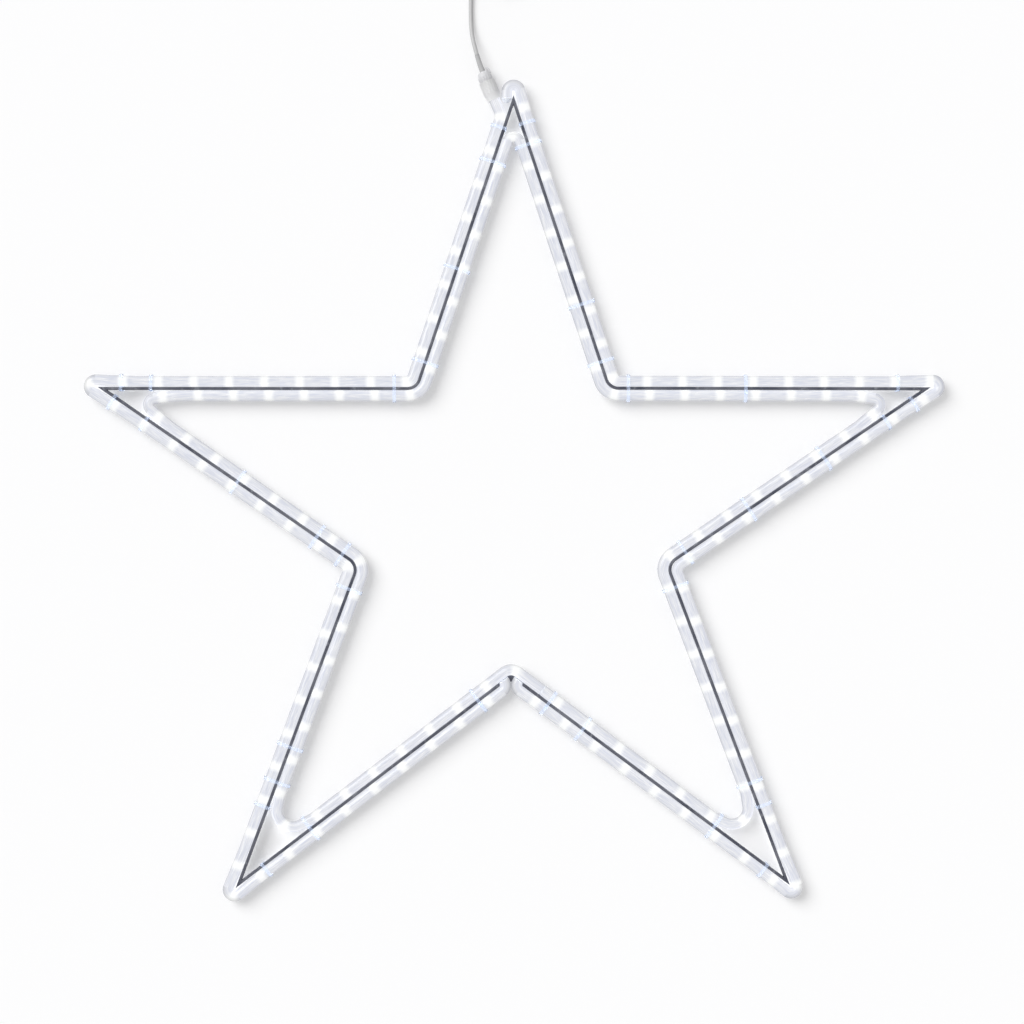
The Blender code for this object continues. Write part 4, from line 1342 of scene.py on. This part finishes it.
# %% All the ties
BAND_EDGE, FRONT_HEAD_SHARE = 0.00025, 0.58
TIE_SHARES = (
    (0.10, 0.215, 0.585, 0.91),
    (0.06, 0.155, 0.93),
    (0.05, 0.175, 0.53, 0.84, 0.94),
    (0.24, 0.32, 0.43, 0.925),
    (0.09, 0.265, 0.88),
    (0.075, 0.265, 0.74, 0.865),
    (0.235, 0.31, 0.93),
    (0.06, 0.165, 0.395, 0.685, 0.93),
    (0.09, 0.57, 0.94),
    (0.085, 0.155, 0.71, 0.91),
)
FRONT_HEADS = {(4, 2): 1, (5, 3): 1, (8, 1): -1}  # (side, tie): 1 over the outer rope, -1 inner

count = 0
for side, shares in enumerate(TIE_SHARES):
    line = ROPE_LINES["outer_left" if side < CROTCH else "outer_right"]
    direction = side_direction(side)
    across = -left_of(direction)
    turn = Matrix(((across.x, 0, -direction.x), (across.y, 0, -direction.y), (0, 1, 0)))
    for row, share in enumerate(shares):
        count += 1
        distance = share * side_span(side).length
        outer_reach = rope_reach(line, side, distance, 1)
        inner_reach = rope_reach(ROPE_LINES["inner"], side, distance, -1)
        loops = band_loops(outer_reach, inner_reach)
        band = to_mesh(plate(loops, TIE_WIDTH, BAND_EDGE, 1))
        head = copy_of(model_head)
        front = FRONT_HEADS.get((side, row), 0)
        shift = front * FRONT_HEAD_SHARE * ROPE_OFFSET
        if not front and not inner_reach:
            shift = (outer_reach - STRIP_THICKNESS / 2) / 2
        half_turn = Matrix.Rotation(math.pi if front else 0, 4, "Z")
        head.data.transform(Matrix.Translation((shift, 0, 0)) @ half_turn)
        tie = join([band, head])
        tie.data.transform(Matrix.Translation(level(on_side(side, distance, 0))) @ turn.to_4x4())
        hang(tie, f"nylon_tie_{count:02d}", nylon_finish, "ties", f"cable_tie_{count:02d}")
bpy.data.objects.remove(model_head, do_unlink=True)
print(count, "ties")

# %% [markdown]
# ## The power connector
# The connector is three moulded pieces in a row. The rope pushes into a frosted sleeve that swells
# into the body, a ring locks the body to the lead's end, and the relief sleeve leaves the ring.
# The rope's light still shows in the sleeve and fades as the body begins, so the glow follows the
# distance up the connector's axis.

# %% Connector's finish
SLEEVE_GLOW, BODY_GLOW = 0.17, 0.02

body_finish = grained_finish(
    "frosted connector PVC", ((0.74, 0.74, 0.75), (0.86, 0.86, 0.86), 110), (0.32, 0.55, 500, 4),
    (0.3, 1500, 4), IOR=1.48, Transmission_Weight=0.25, Emission_Color=(0.97, 0.98, 1, 1),
)
tree = body_finish.node_tree
place = add_node(tree, "TexCoord").outputs["Object"]
from_bend = add_node(tree, "VectorMath", {0: place, 1: (*BEND_POINT, 0)}, operation="SUBTRACT")
inputs = {0: from_bend.outputs[0], 1: (*LEAD_OUT, 0)}
up_the_lead = add_node(tree, "VectorMath", inputs, operation="DOT_PRODUCT").outputs["Value"]
glow = ramp(tree, up_the_lead, SLEEVE_GLOW, BODY_GLOW, SLEEVE_START, BODY_FULL)
feed(tree.nodes["Principled BSDF"], Emission_Strength=glow)
print("connector's finish ready")

# %% [markdown]
# ### The connector's body
# The body is turned in one piece with the sleeve, with the rope's socket at one end and the ring's
# neck at the other. It has shallow flutes for grip, pressed into every other face of its wall.

# %% Connector body
FLUTES, FLUTE_MARGIN, FLUTE_DEPTH = 16, 0.0003, 0.0003
BODY_ROUNDING = 0.0003


def press_faces(obj, keep, thickness, depth):
    """Insets the faces that keep picks, each by itself, and pushes them in or pulls them out."""
    open_mesh(obj, keep)
    bpy.ops.mesh.inset(use_individual=True, thickness=thickness, depth=depth)
    close_mesh()


def every_other(face, radius, sides):
    """True for every other face of the wall that has this radius."""
    turn = math.atan2(face.center.y, face.center.x) % math.tau
    on_wall = abs(face.normal.z) < 0.05 and face.center.xy.length > 0.95 * radius
    return on_wall and int(turn / math.tau * sides) % 2 == 0


socket = SLEEVE_START + SOCKET_DEPTH
bore = ROPE_RADIUS + CLEARANCE
body_profile = [
    (bore, socket),
    (bore, SLEEVE_START),
    (SLEEVE_RADIUS, SLEEVE_START),
    (BODY_RADIUS, BODY_FULL),
    (BODY_RADIUS, BODY_TOP),
    (NECK_RADIUS, BODY_TOP),
    (NECK_RADIUS, BODY_TOP + NECK_LENGTH),
]
body = turned(body_profile, 2 * FLUTES)
press_faces(body, lambda face: every_other(face, BODY_RADIUS, 2 * FLUTES),
            FLUTE_MARGIN, -FLUTE_DEPTH)
put(body, level(BEND_POINT), (*LEAD_OUT, 0))
soften(body, BODY_ROUNDING)
hang(body, "connector_sleeve", body_finish, "connector", "connector_body")
print(f"connector body: {len(body.data.polygons)} faces")

# %% [markdown]
# ### The locking ring
# The ring turns a quarter turn to lock. It starts as an open circle that is drawn round its
# section, so that the lead passes through it. Its wall carries raised grip bars, and an ear at one
# side gives the thumb a stop. It rides on its own body, so it turns about the connector's axis.

# %% Locking ring
RING_SIDES, RING_WALL, RING_CROWN = 32, 0.0079, 0.0066
WALL_STEP, STEP_RISE, CROWN_ROUNDING = 0.0003, 0.001, 0.0012
GRIP_START, GRIP_END, GRIP_MARGIN, GRIP_HEIGHT = 0.0014, 0.0066, 0.00025, 0.0005

ring_finish = grained_finish(
    "grey ring PVC", ((0.66, 0.66, 0.68), (0.8, 0.8, 0.82), 110), (0.36, 0.58, 500, 4),
    (0.3, 1500, 4), IOR=1.48, Transmission_Weight=0.15,
)

hole = RELIEF_RADIUS + CLEARANCE
sleeve = NECK_RADIUS + CLEARANCE
ring_profile = [
    (hole, NECK_LENGTH),
    (sleeve, NECK_LENGTH),
    (sleeve, 0),
    (RING_WALL, 0),
    (RING_WALL, GRIP_START),
    (RING_WALL, GRIP_END),
    (RING_WALL - WALL_STEP, GRIP_END + STEP_RISE),
    (RING_CROWN, RING_LENGTH - CROWN_ROUNDING),
    (RING_CROWN - CROWN_ROUNDING, RING_LENGTH),
    (hole, RING_LENGTH),
]
ring = turned(ring_profile, RING_SIDES, closed=True)
press_faces(
    ring,
    lambda face: GRIP_START < face.center.z < GRIP_END
    and every_other(face, RING_WALL, RING_SIDES),
    GRIP_MARGIN, GRIP_HEIGHT,
)
print(f"ring: {len(ring.data.polygons)} faces")

# %% [markdown]
# ### The ring's ear
# The ear is a small block, cut across at the ring's top edge and narrowed above the cut, so that
# it leans in over the crown. It is joined to the ring before both go to their place.

# %% The ring's ear
EAR_THICKNESS, EAR_WIDTH, EAR_UP, EAR_DOWN = 0.0026, 0.0048, 0.0042, 0.004
EAR_SUNK, EAR_LEAN, EAR_TIP_SHARE, EAR_ROUNDING = 0.0004, 0.0022, 0.7, 0.0005

ear = box_piece((EAR_THICKNESS, EAR_WIDTH, EAR_UP + EAR_DOWN),
                (RING_WALL - EAR_SUNK, 0, RING_LENGTH + (EAR_UP - EAR_DOWN) / 2))
open_mesh(ear)
bpy.ops.mesh.bisect(plane_co=(0, 0, RING_LENGTH), plane_no=(0, 0, 1))
close_mesh()
for vertex in ear.data.vertices:
    if vertex.co.z > RING_LENGTH + EAR_UP / 2:
        vertex.co.x -= EAR_LEAN
        vertex.co.y *= EAR_TIP_SHARE
soften(ear, EAR_ROUNDING, 3)
ring = join([ring, ear])
heading = Vector((*LEAD_OUT, 0))
right_hand = Vector((LEAD_OUT.y, -LEAD_OUT.x, 0))
upward = heading.cross(right_hand)
turn = Matrix((right_hand, upward, heading)).transposed().to_4x4()
ring.data.transform(Matrix.Translation(level(along_lead(RING_START))) @ turn)
soften(ring)
hang(ring, "ring_with_ear", ring_finish, "ring", "locking_ring", body="ring")
print("ring placed")

# %% [markdown]
# ## Floor and light
# The star is photographed on white, with soft grey shadows that fall to the lower right. A plain
# white floor takes the shadows. The floor adds a little of its own brightness for what the camera
# and reflections see, so the lights needn't be turned up to make it white.

# %% Floor
FLOOR_HALF, FLOOR_LEVEL, FLOOR_GLOW = 6.0, -0.0004, 0.236


def seen_share(tree):
    """1 for what is seen, also in a reflection or through clear plastic, and 0 for lighting."""
    path = add_node(tree, "LightPath")
    share = path.outputs["Is Camera Ray"]
    for ray in ("Is Glossy Ray", "Is Transmission Ray"):
        share = combine(tree, "MAXIMUM", share, path.outputs[ray])
    return share


floor_finish, tree, shader = new_finish(
    "white paper floor", (0.77, 0.77, 0.775), 0.9,
    Specular_IOR_Level=0.1, Emission_Color=(1, 1, 1, 1),
)
feed(shader, Emission_Strength=ramp(tree, seen_share(tree), 0, FLOOR_GLOW))
add_bump(tree, shader, object_noise(tree, 300), 0.02, 2 * GRAIN_HEIGHT)
clear_selection()
bpy.ops.mesh.primitive_plane_add(size=2 * FLOOR_HALF, location=(0, 0, FLOOR_LEVEL))
floor = keep_place(bpy.context.object)
floor.name = "floor"
floor.data.materials.append(floor_finish)
print("floor laid")

# %% [markdown]
# ### Light
# A broad sun from the upper left, like a large window, gives the soft-edged shadows. The pale sky
# fills them, and is plain white where it is seen in a reflection.

# %% Light
SKY = 0.5
SUN_STRENGTH, SUN_SPREAD = 2.1, math.radians(42)
SUN_FROM = Vector((-0.75, 0.6, 0.95))

world = bpy.data.worlds.new("pale sky")
bpy.context.scene.world = world
world.use_nodes = True
tree = world.node_tree
background = tree.nodes["Background"]
background.inputs["Color"].default_value = (1, 1, 1, 1)
feed(background, Strength=ramp(tree, seen_share(tree), SKY, 1))

sun = bpy.data.lights.new("window light", "SUN")
sun.energy = SUN_STRENGTH
sun.angle = SUN_SPREAD
sun_object = add_object("window light", sun)
sun_object.rotation_mode = "QUATERNION"
sun_object.rotation_quaternion = SUN_FROM.to_track_quat("Z", "Y")
sun_object.location = SUN_FROM * 2
bpy.context.scene.view_settings.view_transform = "Standard"
print("lit")
